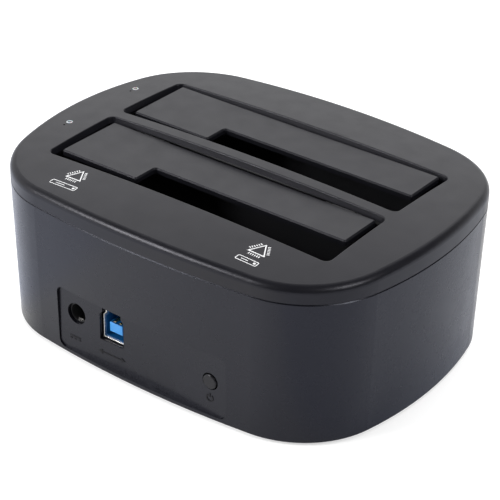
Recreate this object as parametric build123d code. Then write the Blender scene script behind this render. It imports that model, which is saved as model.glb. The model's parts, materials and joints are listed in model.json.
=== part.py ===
from build123d import *
import os
from math import atan, degrees, sqrt

# Docking station for two bare hard drives, in millimetres.
# X runs along the long side, the ports are in the +Y side, and the feet stand on Z = 0.

# Drives that the bays take
large_drive_width = 101.6
large_drive_thickness = 26.1
small_drive_width = 69.85
small_drive_thickness = 9.5

# Case: room round the cradle, plan at the seam, heights and walls
case_end_room = 15.6
port_cradle_gap = 0.45
long_side_radius = 334.0
short_side_radius = 118.0
plan_corner_radius = 30.4
foot_stand = 1.5
cover_height = 8.6
body_taper = 1.0
body_wall = 2.2
cover_wall = 2.0
crown_radius_along = 1108.0
crown_radius_across = 513.0
cover_edge_radius = 2.3
seam_chamfer = 0.25
base_edge_chamfer = 0.5
lip_depth = 2.5
lip_thickness = 1.5
lip_gap = 0.15
base_thickness = 2.2
rim_wall = 1.1
base_gap = 0.15

# Bays in the cover
bay_end_room = 1.0
flap_stow_room = 3.0
bay_strip = 4.5
bay_pair_shift = 0.4
bay_corner_radius = 2.2
bay_rim_radius = 0.4
slot_end_room = 1.0
slot_face_room = 3.0

# Flap over each bay, and its hinge
flap_depth = 2.2
flap_thickness = 1.8
flap_hinge_gap = 1.2
flap_free_gap = 3.8
flap_left_gap = 2.2
flap_right_gap = 2.8
flap_corner_radius = 0.8
flap_edge_chamfer = 0.45
flap_tip_gap = 5.65
hinge_setback = 1.3
knuckle_cover_gap = 0.34
pin_radius = 0.6
pin_clearance = 0.05
pin_end_reach = 3.0
knuckle_radius = 1.3
knuckle_width = 8.0
knuckle_from_bay_end = 16.0
knuckle_side_gap = 0.3
arm_reach = 4.4
arm_window_room = 0.6
lug_width = 2.0
lug_root = 0.3
spring_wire_radius = 0.2
spring_wire_sides = 8
spring_pin_gap = 0.1
spring_turns = 3.25
spring_pitch = 0.5
spring_leg_length = 5.0
spring_side_gap = 0.3

# Cradle that the drives stand in
pocket_gap = 0.3
cradle_wall = 1.6
cradle_floor = 2.0
cradle_top_gap = 0.3
channel_gap = 0.4
channel_drop = 1.8
seat_rib_width = 1.6
seat_rib_height = 0.8
seat_rib_count = 4
ear_width = 7.0
ear_reach = 4.0
ear_thickness = 3.0
ear_drop = 3.0
ear_half_spacing = 22.0
boss_radius = 3.2

# Screw posts of the cover
post_radius = 3.5
post_wall_gap = 1.1
post_cradle_gap = 2.45
post_pilot_room = 2.05

# Screws: shank and head sizes, and clearance around a shank
screw_shank_radius = 1.25
screw_head_radius = 2.5
screw_head_height = 1.1
screw_clearance = 0.05
screw_hole_room = 0.3
head_recess_room = 0.3
small_shank_radius = 0.8
small_head_radius = 1.6
small_head_height = 0.8
cradle_screw_length = 6.0
base_screw_length = 13.0
board_screw_length = 6.0
led_screw_length = 4.0

# Feet
foot_radius = 5.0
foot_recess = 0.8
foot_from_end = 16.6
foot_from_side = 27.1
foot_gap = 0.1
foot_chamfer = 0.5

# Rear port panel
panel_from_seam_side = 2.9
panel_thickness = 2.0
panel_side_margin = 6.1
panel_top_margin = 1.2
panel_rim = 0.8
panel_corner_radius = 2.5
panel_border = 1.5

# Ports and button
board_height = 9.6
dc_x = 25.0
dc_centre_height = 4.7
dc_body_width = 9.0
dc_body_length = 12.0
dc_top_wall = 1.2
dc_nose_wall = 0.45
dc_nose_gap = 0.15
dc_nose_setback = 1.1
dc_bore_radius = 2.9
dc_bore_depth = 9.5
dc_pin_radius = 1.0
dc_pin_setback = 3.0
dc_leaf_setback = 0.6
dc_leaf_width = 2.0
dc_leaf_thickness = 0.35
port_panel_gap = 0.2
usb_x = 11.2
usb_width = 8.5
usb_upper_width = 6.5
usb_lower_height = 8.0
usb_shoulder = 1.05
usb_height = 11.4
usb_sheet = 0.35
usb_depth = 15.0
usb_setback = 1.2
usb_cutout_gap = 0.35
usb_liner = 0.4
usb_plug_depth = 9.0
usb_tongue_width = 4.9
usb_tongue_height = 3.2
usb_tongue_rise = 2.3
usb_tongue_setback = 0.8
usb_upper_tongue_width = 4.2
usb_upper_tongue_height = 0.9
usb_contact_setback = 1.6
usb_contact_width = 0.9
usb_contact_thickness = 0.2
usb_contact_pitch = 2.2
usb_upper_contacts = 5
usb_upper_contact_width = 0.4
usb_upper_contact_pitch = 0.8
button_x = -25.9
button_radius = 2.4
button_gap = 0.35
button_proud = 0.5
button_travel = 1.2
button_flange_radius = 3.2
button_flange_thickness = 1.0
button_flange_gap = 0.3
button_edge_radius = 0.5
switch_centre_height = 2.3
switch_width = 7.0
switch_length = 6.5
plunger_size = 2.4
plunger_length = 5.6
plunger_gap = 0.1
plunger_engagement = 1.4
switch_bore_room = 1.0

# Circuit board and what stands on it
board_thickness = 1.6
board_left_room = 5.3
board_right_room = 1.3
board_front_room = 14.15
board_rear_gap = 3.0
board_notch_gap = 1.0
board_corner_radius = 1.0
standoff_radius = 2.75
standoff_inset = 3.4
standoff_pilot_room = 0.6
sata_from_bay_end = 28.0
sata_from_bay_side = 4.0
sata_height = 12.0
sata_base_height = 6.5
sata_foot_reach = 2.3
sata_foot_step = 0.5
sata_end_wall = 1.9
sata_side_wall = 1.3
sata_rise = 4.7
sata_floor_gap = 0.4
sata_slot_width = 2.6
sata_slot_depth = 6.0
sata_slot_end_room = 3.4
sata_slot_spacing = 2.4
sata_power_contacts = 15
sata_signal_contacts = 7
sata_contact_pitch = 1.27
sata_contact_width = 0.8
sata_contact_thickness = 0.25
sata_contact_drop = 1.0
sata_key_length = 1.2
sata_key_width = 1.0
bridge_chip_size = 9.0
bridge_chip_height = 1.0
bridge_chip_from_left = 22.8
bridge_chip_from_front = 28.0
memory_chip_length = 5.0
memory_chip_width = 4.0
memory_chip_height = 1.5
memory_chip_from_left = 10.8
memory_chip_from_front = 30.0
memory_leg_width = 0.45
memory_leg_length = 1.0
memory_leg_height = 0.4
memory_leg_pitch = 1.27
memory_leg_pairs = 4
crystal_length = 10.0
crystal_width = 4.2
crystal_height = 3.2
crystal_from_left = 22.8
crystal_from_front = 14.0
capacitor_radius = 3.0
capacitor_height = 5.4
capacitor_base_height = 0.7
capacitor_from_rear = 5.3
capacitor_x = -1.0
capacitor_spacing = 8.0
inductor_size = 7.0
inductor_height = 3.0
inductor_chamfer = 1.2
inductor_from_rear = 6.3
inductor_x = -18.0

# Activity lights at the +X end
led_board_wall_gap = 0.49
led_pair_shift = -2.6
led_spacing = 31.5
led_size = 2.6
led_height = 1.0
pipe_radius = 1.0
pipe_gap = 0.05
pipe_flange_radius = 1.7
pipe_flange_height = 0.8
pipe_flange_gap = 0.2
pipe_led_gap = 0.3
vent_hole_radius = 0.35
vent_hole_shift = 2.5
led_board_width = 5.4
led_board_end = 4.25
led_board_thickness = 1.0
led_board_drop = 1.8
led_boss_radius = 2.0
led_boss_spacing = 16.0

cut_overrun = 1.0

# Plan places that follow from the sizes above
sides = {"left": 1, "right": -1}
ends = {"rear": 1, "front": -1}

bay_length = large_drive_width + 2 * bay_end_room
bay_width = large_drive_thickness + flap_stow_room
bay_pitch = bay_width + bay_strip
bay_y = {
    "rear": bay_pair_shift + bay_pitch / 2,
    "front": bay_pair_shift - bay_pitch / 2,
}
slot_length = small_drive_width + 2 * slot_end_room
slot_width = small_drive_thickness + slot_face_room

pocket_length = bay_length + 2 * pocket_gap
pocket_width = bay_width + 2 * pocket_gap
cradle_length = pocket_length + 2 * cradle_wall
cradle_rear_y = bay_y["rear"] + pocket_width / 2 + cradle_wall
cradle_front_y = bay_y["front"] - pocket_width / 2 - cradle_wall

usb_room = usb_setback + usb_depth
dc_room = panel_thickness + port_panel_gap + dc_body_length
panel_y = cradle_rear_y + port_cradle_gap + max(usb_room, dc_room)
panel_inner_y = panel_y - panel_thickness
panel_width = 2 * (max(dc_x, -button_x) + panel_side_margin)
case_length = cradle_length + 2 * case_end_room
case_width = 2 * (panel_y + panel_from_seam_side)
lip_inset = body_wall + lip_gap
cavity_inset = lip_inset + lip_thickness

knuckle_x = bay_length / 2 - knuckle_from_bay_end
lug_shift = knuckle_width / 2 + knuckle_side_gap + lug_width / 2
lug_depth = channel_drop + lug_root
pin_half_length = knuckle_x + lug_shift + lug_width / 2 + pin_end_reach
spring_coil_radius = pin_radius + spring_pin_gap + spring_wire_radius
channel_depth = hinge_setback - pocket_gap + knuckle_radius + channel_gap

sata_power_length = (sata_power_contacts - 1) * sata_contact_pitch + sata_slot_end_room
sata_signal_length = (sata_signal_contacts - 1) * sata_contact_pitch + sata_slot_end_room
sata_slots_length = sata_power_length + sata_slot_spacing + sata_signal_length
sata_head_length = sata_slots_length + 2 * sata_end_wall
sata_head_width = sata_slot_width + 2 * sata_side_wall
sata_length = sata_head_length + 2 * sata_foot_reach
sata_width = sata_head_width + 2 * sata_foot_step
sata_x = sata_from_bay_end - bay_length / 2

board_left_x = dc_x + dc_body_width / 2 + board_left_room
board_right_x = sata_x - sata_length / 2 - board_right_room
board_front_y = bay_y["front"] + bay_width / 2 - sata_from_bay_side - board_front_room
board_rear_y = panel_inner_y - board_rear_gap
capacitor_y = board_rear_y - capacitor_from_rear
inductor_y = board_rear_y - inductor_from_rear
dc_nose_radius = dc_bore_radius + dc_nose_wall
foot_x = case_length / 2 - foot_from_end
foot_y = case_width / 2 - foot_from_side
led_board_length = led_spacing + 2 * led_board_end


def crown_drop(x, y):
    """How far the crowned top surface lies under its highest point at a place in plan."""
    along = crown_radius_along - sqrt(crown_radius_along**2 - x**2)
    across = crown_radius_across - sqrt(crown_radius_across**2 - y**2)
    return along + across


def plan_corner_centre():
    """Centre of the rounded corner between a long and a short side, by two circles."""
    long_y = case_width / 2 - long_side_radius
    short_x = case_length / 2 - short_side_radius
    to_long = long_side_radius - plan_corner_radius
    to_short = short_side_radius - plan_corner_radius
    apart = sqrt(short_x**2 + long_y**2)
    along = (to_short**2 - to_long**2 + apart**2) / (2 * apart)
    across = sqrt(to_short**2 - along**2)
    x = short_x - along * short_x / apart - across * long_y / apart
    y = along * long_y / apart - across * short_x / apart
    return x, y


def post_place():
    """Centre of the rear left screw post, set off from the cradle and the corner wall."""
    centre_x, centre_y = plan_corner_centre()
    y = cradle_rear_y + post_cradle_gap + post_radius
    inset = body_taper + body_wall + post_wall_gap + post_radius
    reach = plan_corner_radius - inset
    return centre_x + sqrt(reach**2 - (y - centre_y) ** 2), y


def light_row_x():
    """X of the lights, from the inner wall of the cover at the end of the light board."""
    corner_y = led_board_length / 2 - led_pair_shift
    radius = short_side_radius - cavity_inset
    wall_x = case_length / 2 - short_side_radius + sqrt(radius**2 - corner_y**2)
    return wall_x - led_board_wall_gap - led_board_width / 2


post_x, post_y = post_place()
led_x = light_row_x()

# Levels that follow from the sizes above, from the underside up to the crown
underside_z = foot_stand
plate_top_z = underside_z + base_thickness
board_top_z = underside_z + board_height
dc_z = board_top_z + dc_centre_height
button_z = board_top_z + switch_centre_height
panel_low_z = underside_z + panel_rim
panel_height = board_top_z + usb_height + panel_top_margin - panel_low_z
base_seat_z = underside_z + screw_head_height + screw_clearance
seat_z = board_top_z + sata_height - sata_rise
floor_z = seat_z - cradle_floor

flap_reach = hinge_setback + bay_width - flap_free_gap
hinge_z = seat_z + flap_tip_gap + flap_reach
front_hinge_y = bay_y["front"] - bay_width / 2 - hinge_setback
knuckle_end = (knuckle_x + knuckle_width / 2, front_hinge_y - knuckle_radius)
roof_z = hinge_z + knuckle_radius + knuckle_cover_gap
crown_z = roof_z + cover_wall + crown_drop(*knuckle_end)
seam_z = crown_z - cover_height
body_height = seam_z - underside_z
flap_top_z = crown_z - flap_depth
flap_low_z = flap_top_z - flap_thickness
hinge_drop = flap_top_z - hinge_z
cradle_end_drop = crown_drop(cradle_length / 2, cradle_front_y)
cradle_top_z = crown_z - cover_wall - cradle_end_drop - cradle_top_gap
ear_top_z = cradle_top_z - ear_drop
led_board_top_z = seam_z - led_board_drop


# Small shape helpers


def span(x, y, z):
    """Box between pairs of limits along each axis."""
    box = Box(x[1] - x[0], y[1] - y[0], z[1] - z[0])
    return Pos((x[0] + x[1]) / 2, (y[0] + y[1]) / 2, (z[0] + z[1]) / 2) * box


def upright(x, y, z, radius):
    """Cylinder along Z between two heights."""
    return Pos(x, y, (z[0] + z[1]) / 2) * Cylinder(radius, z[1] - z[0])


def along_x(x, y, z, radius):
    """Cylinder along X between two places."""
    return Pos((x[0] + x[1]) / 2, y, z) * Rot(0, 90, 0) * Cylinder(radius, x[1] - x[0])


def along_y(x, y, z, radius):
    """Cylinder along Y between two places."""
    return Pos(x, (y[0] + y[1]) / 2, z) * Rot(90, 0, 0) * Cylinder(radius, y[1] - y[0])


def case_plan(inset):
    """Plan of the case: two long arcs and two short arcs with rounded corners, drawn in."""
    long_radius = long_side_radius - inset
    short_radius = short_side_radius - inset
    long_shift = case_width / 2 - long_side_radius
    short_shift = case_length / 2 - short_side_radius
    plan = Pos(0, long_shift) * Circle(long_radius)
    plan &= Pos(0, -long_shift) * Circle(long_radius)
    plan &= Pos(short_shift, 0) * Circle(short_radius)
    plan &= Pos(-short_shift, 0) * Circle(short_radius)
    return fillet(plan.vertices(), plan_corner_radius - inset)


def case_prism(inset, low_z, high_z):
    return Pos(0, 0, low_z) * extrude(case_plan(inset), high_z - low_z)


def tapered_body(inset):
    """Solid of the body's plan that narrows from the seam down to the underside."""
    taper = degrees(atan(body_taper / body_height))
    return Pos(0, 0, seam_z) * Rot(180, 0, 0) * extrude(case_plan(inset), body_height, taper=taper)


def crown_body(lowered):
    """Barrel shaped solid whose upper surface is the crown of the cover."""
    reach = case_length
    low = -crown_radius_across
    end_z = sqrt(crown_radius_along**2 - reach**2) - crown_radius_along
    profile = make_face(
        [
            ThreePointArc((-reach, 0, end_z), (0, 0, 0), (reach, 0, end_z)),
            Polyline((reach, 0, end_z), (reach, 0, low), (-reach, 0, low), (-reach, 0, end_z)),
        ]
    )
    barrel = revolve(profile, Axis((0, 0, low), (1, 0, 0)), 360)
    return Pos(0, 0, crown_z - lowered) * barrel


def bay_prism(name, low_z, high_z):
    plan = RectangleRounded(bay_length, bay_width, bay_corner_radius)
    return Pos(0, bay_y[name], low_z) * extrude(plan, high_z - low_z)


def screw(x, y, seat_level, direction, shank_radius, length, head_radius, head_height):
    """Pan head screw whose head seats at a level and whose shank runs up (1) or down (-1)."""
    shank_end = seat_level + direction * length
    head_end = seat_level - direction * head_height
    shank = upright(x, y, sorted((seat_level, shank_end)), shank_radius)
    head = upright(x, y, sorted((seat_level, head_end)), head_radius)
    return shank + head


# Case


def led_places():
    return {name: led_pair_shift + sign * led_spacing / 2 for name, sign in ends.items()}


def led_boss_places():
    return [led_pair_shift + sign * led_boss_spacing / 2 for sign in ends.values()]


def ear_places():
    """Screw ears along the two long walls of the cradle."""
    wall_y = {"rear": cradle_rear_y, "front": cradle_front_y}
    return {
        f"{end}_{side}": (sides[side] * ear_half_spacing, wall_y[end] + ends[end] * ear_reach)
        for end in ends
        for side in sides
    }


def post_places():
    return {
        f"{end}_{side}": (sides[side] * post_x, ends[end] * post_y)
        for end in ends
        for side in sides
    }


def foot_places():
    return {
        f"{end}_{side}": (sides[side] * foot_x, ends[end] * foot_y)
        for end in ends
        for side in sides
    }


def cover_shell():
    """Crowned cap with a rolled border and the lip that enters the body."""
    cap = case_prism(0, seam_z, crown_z) & crown_body(0)
    top = cap.faces().sort_by(Axis.Z)[-1]
    cap = fillet(top.edges(), cover_edge_radius)
    lip = case_prism(lip_inset, seam_z - lip_depth, seam_z)
    inside = case_prism(cavity_inset, seam_z - lip_depth - cut_overrun, crown_z)
    inside &= crown_body(cover_wall)
    cap = chamfer(cap.faces().sort_by(Axis.Z)[0].edges(), seam_chamfer)
    return cap + lip - inside


def cover_bosses():
    """Screw posts down to the base plate, and short bosses for cradle and light board."""
    roof = crown_body(cover_wall / 2)
    posts = [upright(x, y, (plate_top_z, crown_z), post_radius) for x, y in post_places().values()]
    bosses = [upright(x, y, (ear_top_z, crown_z), boss_radius) for x, y in ear_places().values()]
    low = led_board_top_z
    small = [upright(led_x, y, (low, crown_z), led_boss_radius) for y in led_boss_places()]
    solids = [solid & roof for solid in posts + bosses + small]
    pilots = []
    pilot_radius = screw_shank_radius + screw_clearance
    pilot_top = base_seat_z + base_screw_length + post_pilot_room
    for x, y in post_places().values():
        pilots.append(upright(x, y, (plate_top_z - cut_overrun, pilot_top), pilot_radius))
    for x, y in ear_places().values():
        tip = ear_top_z - ear_thickness + cradle_screw_length + screw_clearance
        pilots.append(upright(x, y, (ear_top_z - cut_overrun, tip), pilot_radius))
    for y in led_boss_places():
        tip = low - led_board_thickness + led_screw_length + screw_clearance
        radius = small_shank_radius + screw_clearance
        pilots.append(upright(led_x, y, (low - cut_overrun, tip), radius))
    return solids, pilots


def top_cover():
    cover = cover_shell()
    for name in bay_y:
        cover -= bay_prism(name, seam_z, crown_z + cut_overrun)
    rims = []
    for edge in cover.edges():
        middle = edge @ (1 / 2)
        on_top = middle.Z > crown_z - crown_drop(middle.X, middle.Y) - cover_wall / 2
        inside = abs(middle.X) < bay_length / 2 + cut_overrun
        if on_top and inside and cradle_front_y < middle.Y < cradle_rear_y:
            rims.append(edge)
    cover = fillet(rims, bay_rim_radius)
    solids, pilots = cover_bosses()
    for solid in solids:
        cover += solid
    for pilot in pilots:
        cover -= pilot
    for y in led_places().values():
        through = (seam_z, crown_z + cut_overrun)
        cover -= upright(led_x, y, through, pipe_radius + pipe_gap)
        cover -= upright(led_x, y + vent_hole_shift, through, vent_hole_radius)
    return cover


def usb_profile(margin):
    """Outline of the square socket with its narrower upper part, grown by a margin."""
    half = usb_width / 2 + margin
    upper = usb_upper_width / 2 + margin
    low = -margin
    shoulder = usb_lower_height + margin
    top = usb_height + margin
    outline = Polyline(
        (-half, low),
        (half, low),
        (half, shoulder),
        (upper, shoulder + usb_shoulder),
        (upper, top),
        (-upper, top),
        (-upper, shoulder + usb_shoulder),
        (-half, shoulder),
        close=True,
    )
    return make_face(outline)


def usb_prism(margin, rear_y, front_y):
    """Socket outline carried from one Y place to another, standing on the board."""
    plane = Plane(origin=(usb_x, front_y, board_top_z), x_dir=(-1, 0, 0), z_dir=(0, 1, 0))
    return extrude(plane * usb_profile(margin), rear_y - front_y)


def base_outline(gap):
    """Plan of the base plate, cut straight where the port panel passes down behind it."""
    plan = case_plan(body_taper + rim_wall + gap)
    half = panel_width / 2 + panel_border + gap
    low = panel_inner_y - gap
    notch = Pos(0, low + case_width / 2) * Rectangle(2 * half, case_width)
    return plan - notch


def body_shell():
    """Tapered wall with a flat recessed port panel in its +Y side."""
    outer = tapered_body(0)
    outer = chamfer(outer.faces().sort_by(Axis.Z)[-1].edges(), seam_chamfer)
    outer = chamfer(outer.faces().sort_by(Axis.Z)[0].edges(), base_edge_chamfer)
    half = panel_width / 2 + panel_border
    backing_top = panel_low_z + panel_height + panel_border
    backing = span((-half, half), (panel_inner_y, case_width), (underside_z, backing_top)) & outer
    shell = outer - tapered_body(body_wall) + backing
    shell -= Pos(0, 0, underside_z) * extrude(base_outline(0), base_thickness)
    panel = RectangleRounded(panel_width, panel_height, panel_corner_radius)
    panel_plane = Plane(
        origin=(0, panel_y, panel_low_z + panel_height / 2), x_dir=(-1, 0, 0), z_dir=(0, 1, 0)
    )
    shell -= extrude(panel_plane * panel, case_width)
    through = (panel_inner_y - cut_overrun, case_width)
    shell -= along_y(dc_x, through, dc_z, dc_nose_radius + dc_nose_gap)
    shell -= along_y(button_x, through, button_z, button_radius + button_gap)
    shell -= usb_prism(usb_cutout_gap, *through)
    return shell


def standoff_places():
    left = board_left_x - standoff_inset
    rear = board_rear_y - standoff_inset
    notch_x = post_radius + board_notch_gap - post_x
    front = board_front_y + standoff_inset
    return {
        "rear_left": (left, rear),
        "rear_right": (max(notch_x, board_right_x) + standoff_inset, rear),
        "front_left": (left, front),
        "front_right": (board_right_x + standoff_inset, front),
    }


def base_plate():
    """Floor of the case with foot seats, screw recesses and board standoffs."""
    plate = Pos(0, 0, underside_z) * extrude(base_outline(base_gap), base_thickness)
    board_low_z = board_top_z - board_thickness
    below = underside_z - cut_overrun
    for x, y in foot_places().values():
        plate -= upright(x, y, (below, underside_z + foot_recess), foot_radius + foot_gap)
    for x, y in post_places().values():
        recess = (below, base_seat_z)
        plate -= upright(x, y, recess, screw_head_radius + head_recess_room)
        hole = (below, plate_top_z + cut_overrun)
        plate -= upright(x, y, hole, screw_shank_radius + screw_hole_room)
    for x, y in standoff_places().values():
        plate += upright(x, y, (plate_top_z, board_low_z), standoff_radius)
        pilot_low = board_top_z - board_screw_length - standoff_pilot_room
        pilot = (pilot_low, board_low_z + cut_overrun)
        plate -= upright(x, y, pilot, small_shank_radius + screw_clearance)
    return plate


def foot(x, y):
    pad = upright(x, y, (0, underside_z + foot_recess), foot_radius)
    return chamfer(pad.faces().sort_by(Axis.Z)[0].edges(), foot_chamfer)


# Drive cradle, flaps and hinges


def hinge_y(name):
    """Y of a flap's hinge axis, just behind the front edge of its bay."""
    return bay_y[name] - bay_width / 2 - hinge_setback


def knuckle_places():
    return [side * knuckle_x for side in sides.values()]


def lug_places():
    return [x + side * lug_shift for x in knuckle_places() for side in sides.values()]


def hinge_lug(x, y):
    """Ear of the cradle that holds the hinge pin."""
    low = hinge_z - lug_depth
    width = (x - lug_width / 2, x + lug_width / 2)
    block = span(width, (y - knuckle_radius, y + knuckle_radius), (low, hinge_z))
    return block + along_x(width, y, hinge_z, knuckle_radius)


def cradle_pocket(name):
    plan = RectangleRounded(pocket_length, pocket_width, bay_corner_radius + pocket_gap)
    return Pos(0, bay_y[name], seat_z) * extrude(plan, crown_z - seat_z)


def sata_y(name):
    return bay_y[name] + bay_width / 2 - sata_from_bay_side


def seat_ribs(name):
    """Ribs that the drive stands on, clear of the socket and of the flap when it is down."""
    start = sata_x + sata_length / 2
    pitch = (pocket_length / 2 - start) / (seat_rib_count + 1)
    centre = bay_y[name]
    half = pocket_width / 2
    ribs = []
    for number in range(1, seat_rib_count + 1):
        x = start + number * pitch
        width = (x - seat_rib_width / 2, x + seat_rib_width / 2)
        across = (centre - half + flap_stow_room, centre + half)
        ribs.append(span(width, across, (floor_z, seat_z + seat_rib_height)))
    return ribs


def hinge_channel(name):
    """Lowered stretch of wall that the hinge pin runs over, with windows for the flap's arms."""
    wall_face = hinge_y(name) + hinge_setback - pocket_gap
    y = (wall_face - channel_depth, wall_face + cut_overrun)
    reach = pin_half_length + knuckle_side_gap
    cuts = [span((-reach, reach), y, (hinge_z - channel_drop, crown_z))]
    half = knuckle_width / 2 + knuckle_side_gap
    for x in knuckle_places():
        low = hinge_z - arm_reach - arm_window_room
        cuts.append(span((x - half, x + half), y, (low, crown_z)))
    return cuts


def drive_cradle():
    """Two pockets side by side with hinge lugs, screw ears and openings for the sockets."""
    half = cradle_length / 2
    cradle = span((-half, half), (cradle_front_y, cradle_rear_y), (floor_z, cradle_top_z))
    cradle = fillet(cradle.edges().filter_by(Axis.Z), bay_corner_radius + pocket_gap + cradle_wall)
    for name in bay_y:
        cradle -= cradle_pocket(name)
        for cut in hinge_channel(name):
            cradle -= cut
        for rib in seat_ribs(name):
            cradle += rib
        for x in lug_places():
            cradle += hinge_lug(x, hinge_y(name))
        bore = pin_half_length + pin_clearance
        cradle -= along_x((-bore, bore), hinge_y(name), hinge_z, pin_radius + pin_clearance)
        hole_x = sata_length / 2 + sata_floor_gap
        hole_y = sata_width / 2 + sata_floor_gap
        middle = sata_y(name)
        through = (floor_z - cut_overrun, seat_z + cut_overrun)
        along = (sata_x - hole_x, sata_x + hole_x)
        cradle -= span(along, (middle - hole_y, middle + hole_y), through)
    for x, y in ear_places().values():
        root = cradle_rear_y - cradle_wall / 2 if y > 0 else cradle_front_y + cradle_wall / 2
        level = (ear_top_z - ear_thickness, ear_top_z)
        arm = span((x - ear_width / 2, x + ear_width / 2), sorted((root, y)), level)
        cradle += arm + upright(x, y, level, ear_width / 2)
        hole = (level[0] - cut_overrun, level[1] + cut_overrun)
        cradle -= upright(x, y, hole, screw_shank_radius + screw_hole_room)
    return cradle


def flap_plan():
    """L-shaped plan from the hinge edge, full width at the +X end and notched beyond."""
    left = bay_length / 2 - flap_left_gap
    right = flap_right_gap - bay_length / 2
    notch_x = slot_length - bay_length / 2
    near = flap_hinge_gap
    far = bay_width - flap_free_gap
    notch_y = bay_width - slot_width
    outline = Polyline(
        (right, near),
        (left, near),
        (left, far),
        (notch_x, far),
        (notch_x, notch_y),
        (right, notch_y),
        close=True,
    )
    plan = make_face(outline)
    return fillet(plan.vertices(), flap_corner_radius)


def flap_arm(x, axis_y):
    """Knuckle on the pin and the arm that carries the flap forward over the bay's edge."""
    lower_z = hinge_drop - flap_thickness
    start_z = -sqrt(knuckle_radius**2 / 2)
    edge = flap_hinge_gap + hinge_setback
    outline = Polyline(
        (0, knuckle_radius),
        (edge, lower_z),
        (edge + flap_thickness / 2, lower_z + flap_thickness / 2),
        (arm_reach, lower_z + flap_thickness / 2),
        (arm_reach, lower_z),
        (-start_z, start_z),
        (0, 0),
        close=True,
    )
    plane = Plane(origin=(x - knuckle_width / 2, axis_y, hinge_z), x_dir=(0, 1, 0), z_dir=(1, 0, 0))
    arm = extrude(plane * make_face(outline), knuckle_width)
    width = (x - knuckle_width / 2, x + knuckle_width / 2)
    return arm + along_x(width, axis_y, hinge_z, knuckle_radius)


def flap(name):
    edge_y = bay_y[name] - bay_width / 2
    plate = Pos(0, edge_y, flap_low_z) * extrude(flap_plan(), flap_thickness)
    plate = chamfer(plate.faces().sort_by(Axis.Z)[-1].edges(), flap_edge_chamfer)
    axis_y = hinge_y(name)
    for x in knuckle_places():
        plate += flap_arm(x, axis_y)
    reach = (-pin_half_length, pin_half_length)
    return plate - along_x(reach, axis_y, hinge_z, pin_radius + pin_clearance)


def hinge_pin(name):
    return along_x((-pin_half_length, pin_half_length), hinge_y(name), hinge_z, pin_radius)


def flap_spring(name):
    """Torsion spring on the pin: one leg under the flap, the other on the cradle wall."""
    height = spring_turns * spring_pitch
    lug_face = knuckle_x - lug_shift - lug_width / 2
    start = lug_face - spring_side_gap - spring_wire_radius - height
    coil_path = Helix(spring_pitch, height, spring_coil_radius)
    wire = RegularPolygon(spring_wire_radius, spring_wire_sides)
    section = Plane(origin=coil_path @ 0, z_dir=coil_path % 0) * wire
    coil = sweep(section, path=coil_path, is_frenet=True)
    first = coil_path @ 0
    last = coil_path @ 1
    upper = Pos(first.X, first.Y - spring_leg_length / 2, first.Z) * Rot(90, 0, 0)
    lower_length = channel_drop - spring_wire_radius
    lower = Pos(last.X - lower_length / 2, last.Y, last.Z) * Rot(0, 90, 0)
    spring = coil + upper * Cylinder(spring_wire_radius, spring_leg_length)
    spring += lower * Cylinder(spring_wire_radius, lower_length)
    place = Plane(origin=(start, hinge_y(name), hinge_z), x_dir=(0, 0, 1), z_dir=(1, 0, 0))
    return place * spring


# Circuit board, sockets and parts on it


def circuit_board():
    """Board with its rear right corner cut back around the screw post."""
    low = board_top_z - board_thickness
    through = (low - cut_overrun, board_top_z + cut_overrun)
    centre_x = (board_left_x + board_right_x) / 2
    centre_y = (board_rear_y + board_front_y) / 2
    size = (board_left_x - board_right_x, board_rear_y - board_front_y)
    outline = Pos(centre_x, centre_y, low) * RectangleRounded(*size, board_corner_radius)
    board = extrude(outline, board_thickness)
    post_room = post_radius + board_notch_gap
    across = (post_y - post_room, board_rear_y + post_room)
    notch = span((-post_x - post_room, post_room - post_x), across, through)
    board -= fillet(notch.edges().filter_by(Axis.Z), board_corner_radius)
    for x, y in standoff_places().values():
        board -= upright(x, y, through, small_shank_radius + screw_hole_room)
    return board


def sata_slots():
    """X limits of the power slot and of the signal slot beside it."""
    start = sata_x - sata_slots_length / 2
    power = (start, start + sata_power_length)
    signal = (power[1] + sata_slot_spacing, start + sata_slots_length)
    return {"power": power, "signal": signal}


def sata_socket(name):
    """Upright drive socket: a foot, a narrower head, and a keyed slot for each tongue."""
    y = sata_y(name)
    top = board_top_z + sata_height
    step = board_top_z + sata_base_height
    foot_x_range = (sata_x - sata_length / 2, sata_x + sata_length / 2)
    head_x_range = (sata_x - sata_head_length / 2, sata_x + sata_head_length / 2)
    socket = span(foot_x_range, (y - sata_width / 2, y + sata_width / 2), (board_top_z, step))
    socket += span(head_x_range, (y - sata_head_width / 2, y + sata_head_width / 2), (step, top))
    depth = (top - sata_slot_depth, top + cut_overrun)
    wall = y - sata_slot_width / 2
    for low, high in sata_slots().values():
        socket -= span((low, high), (wall, y + sata_slot_width / 2), depth)
        socket -= span((high - sata_key_length, high), (wall - sata_key_width, y), depth)
    return socket


def sata_contacts(name):
    """Rows of spring contacts standing along one wall of the two slots."""
    wall = sata_y(name) + sata_slot_width / 2
    top = board_top_z + sata_height
    low = top - sata_slot_depth
    counts = {"power": sata_power_contacts, "signal": sata_signal_contacts}
    strips = []
    for slot, (start, end) in sata_slots().items():
        first = (start + end - (counts[slot] - 1) * sata_contact_pitch) / 2
        for index in range(counts[slot]):
            x = first + index * sata_contact_pitch
            width = (x - sata_contact_width / 2, x + sata_contact_width / 2)
            across = (wall - sata_contact_thickness, wall)
            strips.append(span(width, across, (low, top - sata_contact_drop)))
    return Compound(strips)


def chip(x, y, length, width, height):
    """Block standing on the board."""
    along = (x - length / 2, x + length / 2)
    return span(along, (y - width / 2, y + width / 2), (board_top_z, board_top_z + height))


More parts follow.
